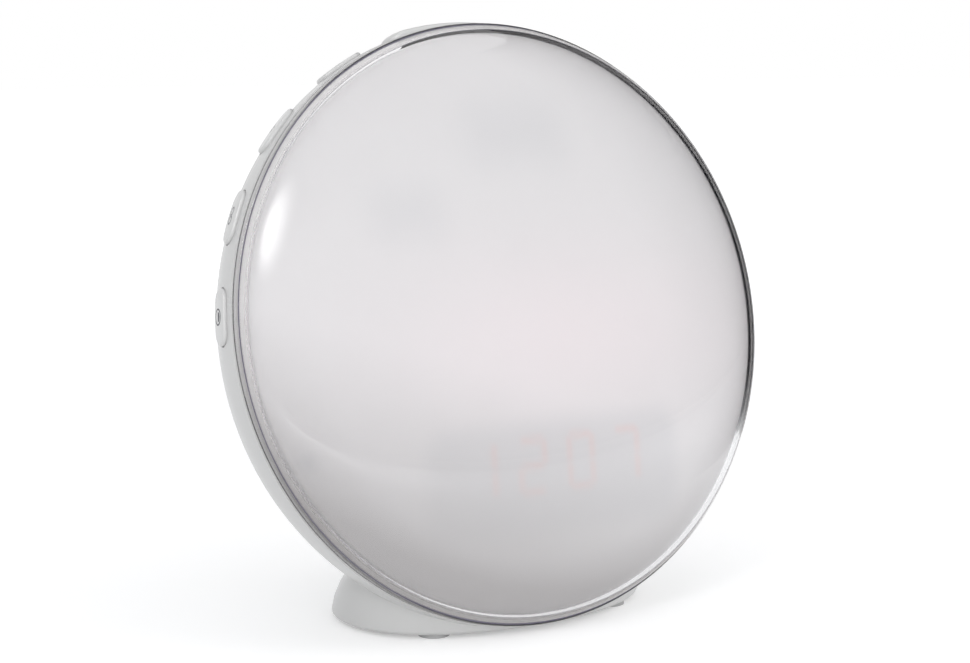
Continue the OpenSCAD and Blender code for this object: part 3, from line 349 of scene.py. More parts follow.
def dome_line(r, h, steps):
    """Profile of half an ellipse from its rim to its pole, closer together near the rim."""
    turns = [math.pi / 2 * (1 - math.cos(math.pi / 2 * i / steps)) for i in range(steps)]
    return [(r * math.cos(t), h * math.sin(t)) for t in turns] + [(0.0, h)]


def turned(name, profile, count, material):
    """A piece turned round the face's axis from a closed profile of (radius, height) in millimetres."""
    work, rings = bmesh.new(), []
    turns = [2 * math.pi * i / count for i in range(count)]
    for r, z in profile:
        rings.append([work.verts.new(HEAD @ Vector((r * math.sin(t), r * math.cos(t), z)) * 0.001)
                      for t in (turns if r else turns[:1])])
    for a, b in zip(rings, rings[1:] + rings[:1]):
        for i in range(count if len(a) + len(b) > 2 else 0):
            j = (i + 1) % count
            corners = (a[i % len(a)], a[j % len(a)], b[j % len(b)], b[i % len(b)])
            work.faces.new(list(dict.fromkeys(corners)))
    bmesh.ops.recalc_face_normals(work, faces=work.faces)
    return placed(name, work, material, 32.0)


# It bends and mirrors what is seen through it, and lets the lamps through.
acrylic, tree = shader("clear_acrylic")
shadow = add(tree, "ShaderNodeLightPath").outputs["Is Shadow Ray"]
body = add(tree, "ShaderNodeBsdfPrincipled", {"Base Color": (0.985, 0.985, 0.995, 1), "Roughness": 0.0,
                                              "IOR": 1.49, "Transmission Weight": 1.0})
through = add(tree, "ShaderNodeBsdfTransparent", {"Color": (0.96, 0.96, 0.97, 1)})
pick = add(tree, "ShaderNodeMixShader", {0: shadow, 1: body, 2: through})
add(tree, "ShaderNodeOutputMaterial", {"Surface": pick})

outer = [(PLUG_R + 0.1, -RIM_T)] + arc(RIM_R - 0.25, -RIM_T + 0.25, 0.25, -90, 0, 4) \
    + arc(RIM_R - 0.5, -0.5, 0.5, 0, 90, 6) + [(DOME_R + 0.05, 0.0)] + dome_line(DOME_R, DOME_H, 72)
inner = dome_line(DOME_R - COVER_T, DOME_H - COVER_T, 72)[::-1]
cover = turned("clear_cover", outer + inner + [(PLUG_R + 0.1, 0.0)], FACETS, acrylic)
fit(cover, "head", "front_cover")

# ---------------------------------------------------------------------------
# Rim lines. A dark ring where the dome springs from its rim, painted shade for the shadowed seam there, and a thin
# foam seal between the rim's back and the housing, whose black also stands in for that seam's shade. Both show as dark
# lines.
# ---------------------------------------------------------------------------
# Painted shade: the dark grey ring draws the shadowed seam at the dome's foot, and the seal's black also draws the seam
# behind the rim.
seam_shade_grey = moulded("seam_shade_grey", (0.16, 0.15, 0.20), rough=0.6, cloud=0.05, height=0.3)
seal_black = moulded("seal_black", (0.03, 0.03, 0.035), rough=0.85, cloud=0.1, grain=900.0, height=0.6)
for name, (low_r, high_r, low_z, high_z), material, slot in (
    ("painted_seam_line", (DOME_R + 0.02, DOME_R + 0.30, -0.05, 0.05), seam_shade_grey, "clear_cover"),
    ("rim_seal", (85.1, 85.9, -RIM_T - 0.02, -RIM_T + 0.06), seal_black, "foam"),
):
    profile = [(low_r, high_z), (high_r, high_z), (high_r, low_z), (low_r, low_z)]
    fit(turned(name, profile, FACETS // 2, material), "head")

# ---------------------------------------------------------------------------
# Diffuser. A milky dome 0.6 mm behind the clear one. Its colour carries painted
# shadows of the display and a few pieces behind it, a painted pink glow of the
# digits, a painted lighter middle and painted shade towards the lower left.
# ---------------------------------------------------------------------------
GLOW_R, GLOW_H, GLOW_T, GLOW_SKIRT = 82.4, 14.7, 1.6, 3.0
STROKE_L, STROKE_S, STROKE_T = 3.3, 3.0, 0.65  # half lengths, flat and upright, and half thickness
STROKE_X = 3.85  # from a digit's middle to its upright strokes
LIT = {1: "bc", 2: "abdeg", 0: "abcdef", 7: "abc"}
digit_strokes = []  # x, y, half width, half height
for value, x in ((1, -24.0), (2, -8.0), (0, 8.0), (7, 24.0)):
    for stroke in LIT[value]:
        if stroke in "agd":
            digit_strokes.append((x, {"a": -33.9, "g": -41.0, "d": -48.1}[stroke], STROKE_L, STROKE_T))
        else:
            across, y = STROKE_X if stroke in "bc" else -STROKE_X, -37.4 if stroke in "bf" else -44.6
            digit_strokes.append((x + across, y, STROKE_T, STROKE_S))


def soft_box(x, y, cx, cy, hx, hy, soft, corner):
    """1 inside a rounded box, falling to 0 over the soft distance."""
    dx = np.abs(x - cx) - (hx - corner)
    dy = np.abs(y - cy) - (hy - corner)
    away = np.hypot(np.maximum(dx, 0), np.maximum(dy, 0)) + np.minimum(np.maximum(dx, dy), 0) - corner
    t = np.clip(0.5 - away / (2 * soft), 0, 1)
    return t * t * (3 - 2 * t)


def face_places(thing):
    """The piece's vertices in the head's own frame, in millimetres."""
    co = np.zeros(len(thing.data.vertices) * 3, np.float32)
    thing.data.vertices.foreach_get("co", co)
    back = np.array(HEAD.inverted())
    return (co.reshape(-1, 3) * 1000) @ back[:3, :3].T + back[:3, 3]


def mix_of(tree, share, first, second):
    """A colour between two others."""
    made = add(tree, "ShaderNodeMix", {"Factor": share, "A": first, "B": second}, data_type="RGBA")
    return made.outputs["Result"]


milk = finished("milky_plastic", MOULDED, {"Cloud": 0.02, "Roughness": 0.45, "Dulling": 0.05,
                                           "Grain Scale": 1800.0, "Grain Height": 0.1})
tree, colour = milk.node_tree, (0.75, 0.738, 0.735, 1)
# Each layer is painted light or shade: a lighter middle, shadows of the parts behind, the digits' glow and shade low
# down.
for layer, tint in (("warm", (0.825, 0.77, 0.775)), ("window", (0.50, 0.51, 0.53)),
                    ("lit", (0.82, 0.50, 0.46)), ("low", (0.42, 0.405, 0.40))):
    colour = mix_of(tree, marked(tree, layer), colour, (*tint, 1))
skin = next(node for node in tree.nodes if node.type == "GROUP")
tree.links.new(colour, skin.inputs["Colour"])

outer = [(PLUG_R - 0.2, -GLOW_SKIRT), (PLUG_R - 0.2, -0.1)] + dome_line(GLOW_R, GLOW_H, 110)
inner = dome_line(GLOW_R - GLOW_T, GLOW_H - GLOW_T, 20)[::-1]
glow = turned("milky_diffuser", outer + inner + [(GLOW_R - GLOW_T, -GLOW_SKIRT)], FACETS, milk)
# The skirt that plugs into the housing is frosted and takes the diffuser's tone.
skirt = turned("cover_skirt", [(PLUG_R, -0.05), (FROST_R, -0.05), (FROST_R, -RIM_T + 0.1), (SKIRT_R, -RIM_T + 0.1),
                               (SKIRT_R, -SKIRT_END), (PLUG_R, -SKIRT_END)], FACETS, milk)
for thing, node, slot in ((glow, "diffuser", "milky_diffuser"), (skirt, "front_cover", "clear_cover")):
    x, y = face_places(thing)[:, :2].T
    # Painted light: a brighter, warmer middle of the face.
    mark(thing, "warm", np.clip(np.exp(-((x - 8) / 60) ** 2 - ((y + 6) / 26) ** 2), 0, 1))
    # Painted shadows of the parts behind: the grey window round the display, two small dots and two broad, faint
    # patches.
    grey = 0.27 * soft_box(x, y, 1.0, -44.5, 41.5, 15.5, 4.0, 7.0)
    for px, py, spread in ((-72, -33, 7.0), (-59, -56, 8.0)):
        grey = np.maximum(grey, 0.65 * np.exp(-((x - px) ** 2 + (y - py) ** 2) / spread))
    for box in ((0, 52, 16, 9, 9.0, 6.0), (-38, 31, 10, 7, 8.0, 5.0)):
        grey = np.maximum(grey, 0.20 * soft_box(x, y, *box))
    mark(thing, "window", grey)
    # Painted light: the lit digits' pink glow, put into the colour.
    painted_digit_glow = np.zeros(len(x))
    for stroke in digit_strokes:
        painted_digit_glow = np.maximum(painted_digit_glow, soft_box(x, y, *stroke, 1.5, 0.5))
    mark(thing, "lit", 0.38 * painted_digit_glow)
    # Painted shade: the face's colour darkens towards its lower left and its lower edge.
    low = np.clip((-20 - y - 0.36 * x) / 62, 0, 1)
    edge = np.clip((np.hypot(x, y) - 68) / 15, 0, 1) * np.clip((10 - y) / 60, 0, 1)
    mark(thing, "low", np.clip(0.90 * low ** 1.25 + 0.35 * edge, 0, 1))
    fit(thing, "head", node)

# ---------------------------------------------------------------------------
# Side buttons. Four rounded white caps on each side, cut to the housing's
# curve, each with a printed sign. They slide on posts inside the housing.
# ---------------------------------------------------------------------------
FLAT_R, HOUSING_R, SIDE_DEPTH, BOWL_DEPTH = 34.4, 86.4, 5.0, 42.5
BUTTON_ANGLE = (84.5, 66.1, 47.7, 29.3)
BUTTON = dict(depth=9.5, length=15.6, width=8.0, proud=1.0, tip=76.8)
SNOOZE = dict(depth=14.0, length=50.0, width=11.0, proud=2.2, tip=73.8)
LIP_OUT, LIP_TOP, LIP_UNDER = 0.8, -2.7, -4.3  # the hidden lip's reach and heights
POST_R, POST_SIDES, POST_ROOT = 1.7, 24, HOUSING_R - 5.6
PRINT_TOP, PRINT_UNDER = 0.015, -0.10


def on_side(clock, depth, u, v, height):
    """A point on the housing's side: u runs clockwise, v back, and height stands out of the wall."""
    d, grown = depth + v, HOUSING_R - FLAT_R + height
    r = FLAT_R + grown * math.sqrt(1 - (max(0, d - SIDE_DEPTH) / (BOWL_DEPTH + height)) ** 2)
    c, s, up = math.cos(math.radians(clock)), math.sin(math.radians(clock)), math.sqrt(r * r - u * u)
    return HEAD @ Vector((u * c + up * s, up * c - u * s, -d)) * 0.001


def stadium(length, width, inset, count):
    """The outline of a plate with round ends, drawn in by an inset."""
    r, half = width / 2 - inset, (length - width) / 2
    out = []
    for i in range(count):
        c, s = math.cos(2 * math.pi * i / count), math.sin(2 * math.pi * i / count)
        out.append(((half if c >= 0 else -half) * min(1, abs(c) * 6) + r * c, r * s))
    return out


def wall(work, low, high):
    """A band of quads between two loops of the same count."""
    for i in range(len(low)):
        j = (i + 1) % len(low)
        work.faces.new((low[i], low[j], high[j], high[i]))


def cap(name, node, body, clock, size, posts, fillet=0.7, count=96):
    """A pressed cap: rounded top, hidden lip below the wall and its posts, in one closed skin."""
    width, proud = size["width"], size["proud"]
    middle = width / 2 - 0.02
    rings = [(middle, LIP_UNDER), (-LIP_OUT, LIP_UNDER), (-LIP_OUT, LIP_TOP), (0, LIP_TOP), (0, proud - fillet)]
    rings += [(fillet * (1 - math.cos(math.radians(a))), proud - fillet + fillet * math.sin(math.radians(a)))
              for a in (18, 36, 54, 72, 90)]
    rings += [(fillet + (middle - fillet) * k / 5, proud) for k in (1, 2, 3, 4, 5)]
    work = bmesh.new()
    loops = [[work.verts.new(on_side(clock, size["depth"], u, v, h))
              for u, v in stadium(size["length"], width, inset, count)] for inset, h in rings]
    for low, high in zip(loops, loops[1:]):
        wall(work, low, high)
    for loop in (loops[0], loops[-1]):
        for i in range(count // 2):
            quad = list(dict.fromkeys([loop[i], loop[i + 1], loop[count - i - 1], loop[-i if i else 0]]))
            if len(quad) >= 3:
                work.faces.new(quad)
    turn = Matrix.Rotation(-math.radians(clock), 4, "Z") @ Matrix.Translation((0, 0, -size["depth"])) \
        @ Matrix.Rotation(-math.pi / 2, 4, "X")
    for at in posts:
        rim = [(POST_R * math.cos(2 * math.pi * i / POST_SIDES), POST_R * math.sin(2 * math.pi * i / POST_SIDES))
               for i in range(POST_SIDES)]
        ends = [[work.verts.new(HEAD @ (turn @ Vector((at + px, py, z))) * 0.001) for px, py in rim]
                for z in (size["tip"], POST_ROOT)]
        wall(work, *ends)
        for end in ends:
            work.faces.new(end)
    bmesh.ops.remove_doubles(work, verts=work.verts, dist=1e-7)
    bmesh.ops.recalc_face_normals(work, faces=work.faces)
    fit(placed(name, work, button_white, 30.0), body, node)


def ring(cx, cy, r, line, start=0, stop=360, steps=40):
    """Quads of a ring or arc in a sign, each as four flat corners."""
    out = []
    for i in range(steps):
        a, b = (math.radians(start + (stop - start) * k / steps) for k in (i, i + 1))
        out.append([(cx + q * math.cos(t), cy + q * math.sin(t)) for q, t in
                    ((r - line / 2, a), (r + line / 2, a), (r + line / 2, b), (r - line / 2, b))])
    return out


def bar(x0, y0, x1, y1, line):
    """One straight stroke of a sign."""
    dx, dy = x1 - x0, y1 - y0
    n = math.hypot(dx, dy)
    ox, oy = -dy / n * line / 2, dx / n * line / 2
    return [[(x0 + ox, y0 + oy), (x0 - ox, y0 - oy), (x1 - ox, y1 - oy), (x1 + ox, y1 + oy)]]


HALF_SUN = ring(0, 0, 2.1, 0.45) + ring(0, 0, 0.7, 1.4, -90, 90, 20)
TWO_BELLS = ring(0, 1.3, 1.1, 0.45) + ring(0, -1.3, 1.1, 0.45)
PLUS = bar(-1.5, 0, 1.5, 0, 0.4) + bar(0, 0.2, 0, 1.5, 0.4) + bar(0, -1.5, 0, -0.2, 0.4)
MINUS = bar(-1.5, 0, 1.5, 0, 0.4)
NOTE = ring(-0.5, -1.1, 0.35, 0.7, 0, 360, 24) + bar(0.25, -1.1, 0.25, 1.5, 0.3) + bar(0.4, 1.4, 1.2, 0.9, 0.35)
LAMP = ring(0, 0.4, 1.2, 0.3) + bar(-0.5, -1.2, 0.5, -1.2, 0.3) + bar(-0.35, -1.7, 0.35, -1.7, 0.3)
DIAL = ring(0, 0, 1.6, 0.3) + bar(0, 0, 0, 1.1, 0.3) + bar(0.15, 0, 0.8, 0, 0.3)
MOON = ring(0, 0, 1.5, 0.35, 60, 300) + ring(0.75, 0, 1.3, 0.3, 90, 270)


def sign(name, body, clock, strokes, material):
    """A printed sign on a side button, a thin inlay that follows its curve."""
    work = bmesh.new()
    flip = 1 if clock < 0 else -1
    for stroke in strokes:
        tops, lows = ([work.verts.new(on_side(clock, BUTTON["depth"], flip * y, -flip * x, BUTTON["proud"] + h))
                       for x, y in stroke] for h in (PRINT_TOP, PRINT_UNDER))
        work.faces.new(tops)
        work.faces.new(lows[::-1])
        for i in range(4):
            work.faces.new((tops[i], lows[i], lows[(i + 1) % 4], tops[(i + 1) % 4]))
    bmesh.ops.recalc_face_normals(work, faces=work.faces)
    fit(placed(name, work, material), body)


button_white = moulded("button_white", (0.64, 0.64, 0.635), rough=0.3, height=0.1, coat=0.25)
print_dark = moulded("print_dark", (0.09, 0.09, 0.10), rough=0.5, height=0.1)
print_grey = moulded("print_grey", (0.17, 0.17, 0.18), rough=0.5, height=0.1)
SIGNS = {"left": (HALF_SUN, TWO_BELLS, PLUS, MINUS), "right": (LAMP, NOTE, DIAL, MOON)}
for side, hand in (("left", -1), ("right", 1)):
    for number, angle in enumerate(BUTTON_ANGLE):
        button = f"{side}_button_{number + 1}"
        cap(button + "_cap", button, button, hand * angle, BUTTON, (0,))
        sign(button + "_sign", button, hand * angle, SIGNS[side][number], print_grey if number else print_dark)

# ---------------------------------------------------------------------------
# Snooze bar. A long raised bar on top, moulded in the same white plastic as
# the buttons. It slides on two posts inside the housing.
# ---------------------------------------------------------------------------
cap("snooze_cap", "snooze_bar", "snooze", 0, SNOOZE, (-13, 13), fillet=1.2, count=192)

# ---------------------------------------------------------------------------
# Battery door. The same white plastic as the housing, flush with its back, on
# two short hinge pins at its lower edge and one screw at the top.
# ---------------------------------------------------------------------------
skin_of("battery_door", "door", housing_white)

# ---------------------------------------------------------------------------
# Base plate and rubber feet. A matt white plate closes the foot, and four grey
# rubber pads are glued into its recesses.
# ---------------------------------------------------------------------------


def dress(node, material):
    """Gives a CAD node a material and leaves its mesh alone."""
    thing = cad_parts[node]
    thing.data.materials.clear()
    thing.data.materials.append(material)


dress("base_plate", moulded("base_white", (0.60, 0.60, 0.59), rough=0.45, height=0.3))
dress("rubber_feet", moulded("foot_rubber", (0.42, 0.42, 0.42), rough=0.7, cloud=0.1, height=0.5))

# ---------------------------------------------------------------------------
# Reflector tray. A dish of gloss white plastic that throws the light forward,
# with the posts that take the housing screws on its back.
# ---------------------------------------------------------------------------
tray_white = moulded("tray_white", (0.80, 0.80, 0.79), rough=0.22, cloud=0.02, height=0.08, coat=0.3)
dress("reflector_tray", tray_white)

# ---------------------------------------------------------------------------
# Circuit boards. Glass-fibre boards: white lacquer under the LEDs, and green
# lacquer over copper tracks for the main, button and snooze boards.
# ---------------------------------------------------------------------------


def flat_place(tree, scale=(1, 1, 1)):
    """The place on the piece, turned to lie flat with the clock's face."""
    place = add(tree, "ShaderNodeTexCoord").outputs["Object"]
    return add(tree, "ShaderNodeMapping", {"Vector": place, "Rotation": (LEAN - math.pi / 2, 0, 0), "Scale": scale})


def board_group():
    """Node group: lacquer over square-cornered tracks, with a faint glass weave."""
    group, into = group_of("lacquered_board", {
        "Lacquer": (0.02, 0.2, 0.08, 1), "Tracks": (0.05, 0.3, 0.12, 1), "Track Scale": 220.0, "Roughness": 0.35}, SKIN)
    flat = flat_place(group)
    tracks = add(group, "ShaderNodeTexBrick", {
        "Vector": flat, "Scale": into["Track Scale"], "Color1": (0, 0, 0, 1), "Color2": (0, 0, 0, 1),
        "Mortar": (1, 1, 1, 1), "Mortar Size": 0.035, "Mortar Smooth": 0.3, "Brick Width": 1.7,
        "Row Height": 0.35}).outputs["Color"]
    weave = add(group, "ShaderNodeTexNoise", {"Vector": flat, "Scale": 1500}).outputs["Fac"]
    add(group, "NodeGroupOutput", {
        "Colour": mix_of(group, tracks, into["Lacquer"], into["Tracks"]),
        "Roughness": sum_of(group, "MULTIPLY_ADD", weave, 0.15, into["Roughness"]),
        "Normal": add(group, "ShaderNodeBump", {"Strength": 0.3, "Distance": 0.0001, "Height": tracks})})
    return group


BOARD = board_group()
white_board = finished("white_lacquer", BOARD, {"Lacquer": (0.72, 0.73, 0.72, 1), "Tracks": (0.62, 0.63, 0.61, 1),
                                                "Track Scale": 160.0})
green_board = finished("green_lacquer", BOARD, {"Lacquer": (0.015, 0.16, 0.06, 1), "Tracks": (0.04, 0.26, 0.10, 1)})
dress("led_board", white_board)
for node in ("main_board_panel", "left_button_board", "right_button_board", "snooze_board"):
    dress(node, green_board)

# ---------------------------------------------------------------------------
# LEDs. White ones with a yellow phosphor window on two rings and coloured ones
# with a clear window between them, soldered to the light board by machine.
# ---------------------------------------------------------------------------
LED_FLOOR = -8.4  # front of the light board, in the head's frame
WHITE_SIZE, COLOUR_SIZE = (3.5, 2.8, 0.8), (5.0, 5.0, 1.4)
BAFFLE_Y, BAFFLE_SIZE = -44.5, (82.0, 31.0)


def led_tree():
    """Geometry Nodes: packages on a ring, each turned to the centre, none under the display's baffle."""
    tree, into = group_of("led_ring", {
        "Geometry": "Geometry", "Ring Radius": 30.0, "Places": 12, "First Place": 0.0, "Package Length": 3.5,
        "Package Width": 2.8, "Package Height": 0.8, "Window Radius": 1.1, "Baffle Half Width": 46.0,
        "Baffle Half Height": 20.5, "Baffle Middle": -44.5, "Package": "Material", "Window": "Material"},
        {"Geometry": "Geometry"}, "GeometryNodeTree")
    circle = add(tree, "GeometryNodeMeshCircle", {"Vertices": into["Places"], "Radius": into["Ring Radius"]})
    first = add(tree, "ShaderNodeCombineXYZ", {"Z": into["First Place"]})
    places = add(tree, "GeometryNodeTransform", {"Geometry": circle, "Rotation": first})
    at = add(tree, "ShaderNodeSeparateXYZ", {0: add(tree, "GeometryNodeInputPosition")}).outputs
    wide = sum_of(tree, "LESS_THAN", sum_of(tree, "ABSOLUTE", at["X"]), into["Baffle Half Width"])
    off = sum_of(tree, "ABSOLUTE", sum_of(tree, "SUBTRACT", at["Y"], into["Baffle Middle"]))
    covered = sum_of(tree, "MULTIPLY", wide, sum_of(tree, "LESS_THAN", off, into["Baffle Half Height"]))
    kept = add(tree, "GeometryNodeDeleteGeometry", {"Geometry": places, "Selection": covered})

    size = add(tree, "ShaderNodeCombineXYZ", {
        "X": into["Package Length"], "Y": into["Package Width"], "Z": into["Package Height"]})
    block = add(tree, "GeometryNodeMeshCube", {"Size": size})
    lens = add(tree, "GeometryNodeMeshUVSphere", {"Segments": 16, "Rings": 8, "Radius": into["Window Radius"]})
    halves = []
    for mesh, height, scale, material in (
        (block, sum_of(tree, "MULTIPLY", into["Package Height"], 0.5), (1, 1, 1), "Package"),
        (lens, sum_of(tree, "SUBTRACT", into["Package Height"], 0.06), (1, 1, 0.12), "Window"),
    ):
        raised = add(tree, "GeometryNodeTransform", {
            "Geometry": mesh, "Translation": add(tree, "ShaderNodeCombineXYZ", {"Z": height}), "Scale": scale})
        halves.append(add(tree, "GeometryNodeSetMaterial", {"Geometry": raised, "Material": into[material]}))
    package = add(tree, "GeometryNodeJoinGeometry", {0: halves})

    angle = sum_of(tree, "SUBTRACT", sum_of(tree, "ARCTAN2", at["Y"], at["X"]), math.pi / 2)
    each = add(tree, "GeometryNodeInstanceOnPoints", {
        "Points": kept, "Instance": package, "Rotation": add(tree, "ShaderNodeCombineXYZ", {"Z": angle})})
    add(tree, "NodeGroupOutput", {0: add(tree, "GeometryNodeRealizeInstances", {0: each})})
    return tree


def grown(name, tree, values, node, body, slot, place, start=None):
    """Runs a Geometry Nodes tree once, and its plain mesh stands for a CAD node in its place."""
    holder = put(name, start or bpy.data.meshes.new(name + "_start"))
    modifier = holder.modifiers.new(name, "NODES")
    modifier.node_group = tree
    sockets = {item.name: item.identifier for item in tree.interface.items_tree if item.in_out == "INPUT"}
    for key, value in values.items():
        modifier[sockets[key]] = value
    bpy.context.view_layer.update()
    mesh = bpy.data.meshes.new_from_object(holder.evaluated_get(bpy.context.evaluated_depsgraph_get()))
    holder.modifiers.remove(modifier)
    bpy.data.objects.remove(holder)
    mesh.name = name
    for empty in reversed([i for i, material in enumerate(mesh.materials) if material is None]):
        mesh.materials.pop(index=empty)
    mesh.validate()
    mesh.shade_smooth()
    mesh.set_sharp_from_angle(angle=math.radians(32))
    mesh.transform(Matrix.Scale(0.001, 4) @ place)
    fit(put(name, mesh), body, node)


led_white = moulded("white_resin", (0.78, 0.78, 0.77), rough=0.35, height=0.1)
led_yellow = moulded("yellow_phosphor", (0.75, 0.60, 0.12), rough=0.3, cloud=0.05, height=0.1, coat=0.4)
led_clear = moulded("led_window", (0.42, 0.43, 0.45), rough=0.15, cloud=0.05, height=0.1, coat=0.6)
LED_RING = led_tree()
for name, node, slot, radius, places, first, size, window_r, window in (
    ("white_leds_ring_1", "white_leds", "led_phosphor", 30.0, 12, 0.0, WHITE_SIZE, 1.15, led_yellow),
    ("white_leds_ring_2", "white_leds", "led_phosphor", 54.0, 24, 0.0, WHITE_SIZE, 1.15, led_yellow),
    ("colour_leds_ring", "colour_leds", "led_package", 42.0, 12, math.pi / 12, COLOUR_SIZE, 1.9, led_clear),
):
    grown(name, LED_RING, {
        "Ring Radius": radius, "Places": places, "First Place": first, "Package Length": size[0],
        "Package Width": size[1], "Package Height": size[2], "Window Radius": window_r,
        "Baffle Half Width": BAFFLE_SIZE[0] / 2 + COLOUR_SIZE[0],
        "Baffle Half Height": BAFFLE_SIZE[1] / 2 + COLOUR_SIZE[0], "Baffle Middle": BAFFLE_Y,
        "Package": led_white, "Window": window}, node, "head", slot, HEAD @ Matrix.Translation((0, 0, LED_FLOOR)))

# ---------------------------------------------------------------------------
# Time display. A black module with four red digits on two rows of tinned pins,
# inside a dark baffle that keeps the lamp's light off it.
# ---------------------------------------------------------------------------
dress("display_baffle", moulded("baffle_grey", (0.045, 0.045, 0.05), rough=0.6, cloud=0.05, height=0.3))
dress("display_module", moulded("display_resin", (0.02, 0.02, 0.022), rough=0.3, cloud=0.05, height=0.15))
dress("display_digits", moulded("lit_red", (0.75, 0.10, 0.07), rough=0.35, cloud=0.04, height=0.1))

# ---------------------------------------------------------------------------
# Bare metal parts. Steel, tin, nickel and brass with rolled or drawn lines and
# a little tarnish. The coin cell and its contacts, the pins and the can tops.
# ---------------------------------------------------------------------------


def metal_group():
    """Node group: lines from rolling or drawing, and soft patches of tarnish."""
    group, into = group_of("worked_metal", {
        "Colour": (0.6, 0.6, 0.6, 1), "Tarnish": (0.4, 0.38, 0.35, 1), "Roughness": 0.3, "Line Scale": 900.0}, SKIN)
    drawn, place = flat_place(group, (1, 0.05, 1)), add(group, "ShaderNodeTexCoord").outputs["Object"]
    lines = add(group, "ShaderNodeTexNoise", {"Vector": drawn, "Scale": into["Line Scale"]}).outputs["Fac"]
    patches = add(group, "ShaderNodeTexNoise", {"Vector": place, "Scale": 180}).outputs["Fac"]
    worn = add(group, "ShaderNodeMapRange", {"Value": patches, "From Min": 0.45, "From Max": 0.8}).outputs["Result"]
    add(group, "NodeGroupOutput", {
        "Colour": mix_of(group, worn, into["Colour"], into["Tarnish"]),
        "Roughness": sum_of(group, "MULTIPLY_ADD", lines, 0.15, into["Roughness"]),
        "Normal": add(group, "ShaderNodeBump", {"Strength": 0.2, "Distance": 0.00005, "Height": lines})})
    return group


METAL = metal_group()


def metal(name, colour, tarnish, rough=0.25, lines=900.0):
    """Bare metal that takes its surface from the worked_metal group."""
    return finished(name, METAL, {"Colour": (*colour, 1), "Tarnish": (*tarnish, 1), "Roughness": rough,
                                  "Line Scale": lines}, {"Metallic": 1.0})


dress("display_pins", metal("tinned", (0.66, 0.66, 0.64), (0.50, 0.50, 0.48), 0.28))
dress("coin_cell", metal("stainless", (0.60, 0.60, 0.61), (0.50, 0.50, 0.50), 0.22, 1500.0))
dress("battery_contacts", metal("brass", (0.66, 0.54, 0.30), (0.45, 0.34, 0.18), 0.25))
dress("board_capacitors", metal("aluminium_can", (0.58, 0.59, 0.61), (0.48, 0.49, 0.51), 0.3, 600.0))
dress("dc_jack_pin", metal("nickel", (0.62, 0.60, 0.56), (0.50, 0.47, 0.42), 0.18))

# ---------------------------------------------------------------------------
# Chips, tactile switches and the power socket. Black moulded resin and nylon,
# soldered to their boards, and the socket pushed into its recess.
# ---------------------------------------------------------------------------
dress("board_chips", moulded("chip_resin", (0.022, 0.022, 0.024), rough=0.55, cloud=0.05, height=0.4))
switch_nylon = moulded("switch_nylon", (0.03, 0.03, 0.033), rough=0.45, cloud=0.05, height=0.3)
for node in ["left_switches", "right_switches", "snooze_switches", "snooze_plungers"] \
        + [f"{side}_plunger_{i}" for side in ("left", "right") for i in (1, 2, 3, 4)]:
    dress(node, switch_nylon)
dress("dc_jack", moulded("socket_nylon", (0.025, 0.025, 0.027), rough=0.4, cloud=0.05, height=0.3))

# ---------------------------------------------------------------------------
# Speaker. A pressed steel basket and magnet, a paper cone on a rubber roll, a
# copper coil, and a foam ring that seals it to the back.
# ---------------------------------------------------------------------------


def fibre_group():
    """Node group: pressed fibres or open foam cells, as shade and bump."""
    group, into = group_of("fibres_and_cells", {
        "Colour": (0.1, 0.1, 0.1, 1), "Cell Scale": 900.0, "Contrast": 0.5, "Depth": 0.6},
        {"Colour": "Color", "Normal": "Vector"})
    place = add(group, "ShaderNodeTexCoord").outputs["Object"]
    cells = add(group, "ShaderNodeTexVoronoi", {"Vector": place, "Scale": into["Cell Scale"]}).outputs["Distance"]
    darker = sum_of(group, "MULTIPLY_ADD", cells, into["Contrast"], 0.75)
    add(group, "NodeGroupOutput", {
        "Colour": add(group, "ShaderNodeVectorMath", {0: into["Colour"], "Scale": darker}, operation="SCALE"),
        "Normal": add(group, "ShaderNodeBump", {"Strength": into["Depth"], "Distance": 0.0002, "Height": cells})})
    return group


FIBRES = fibre_group()


def fibrous(name, colour, scale, contrast, depth):
    """Paper or foam that takes its surface from the fibres_and_cells group."""
    return finished(name, FIBRES, {"Colour": (*colour, 1), "Cell Scale": scale, "Contrast": contrast,
                                   "Depth": depth}, {"Roughness": 0.85})


# Enamelled copper wire lies side by side round the coil.
wound_copper, tree = shader("wound_copper")
turns = add(tree, "ShaderNodeTexWave", {"Vector": flat_place(tree), "Scale": 900}, bands_direction="Z").outputs["Color"]
bump = add(tree, "ShaderNodeBump", {"Distance": 0.0001, "Height": turns})
tone = mix_of(tree, turns, (0.35, 0.10, 0.03, 1), (0.80, 0.36, 0.16, 1))
body = add(tree, "ShaderNodeBsdfPrincipled", {"Base Color": tone, "Metallic": 1.0, "Roughness": 0.3, "Normal": bump})
add(tree, "ShaderNodeOutputMaterial", {"Surface": body})

dress("speaker_frame", metal("pressed_steel", (0.20, 0.20, 0.21), (0.14, 0.14, 0.14), 0.4, 700.0))
ferrite = moulded("ferrite_grey", (0.05, 0.05, 0.053), rough=0.5, cloud=0.12, grain=1200.0, height=0.6)
dress("speaker_magnet", ferrite)
dress("speaker_cone", fibrous("pressed_paper", (0.045, 0.042, 0.04), 1400.0, 0.6, 0.5))
dress("speaker_surround", moulded("roll_rubber", (0.02, 0.02, 0.021), rough=0.6, cloud=0.08, height=0.3))
dress("speaker_gasket", fibrous("gasket_foam", (0.03, 0.03, 0.032), 1600.0, 0.9, 1.0))
dress("voice_coil", wound_copper)

# ---------------------------------------------------------------------------
# Screws. Pan heads with a cross and a rolled thread, in zinc-plated steel, for
# the housing, the boards, the speaker, the base plate and the battery door.
# ---------------------------------------------------------------------------


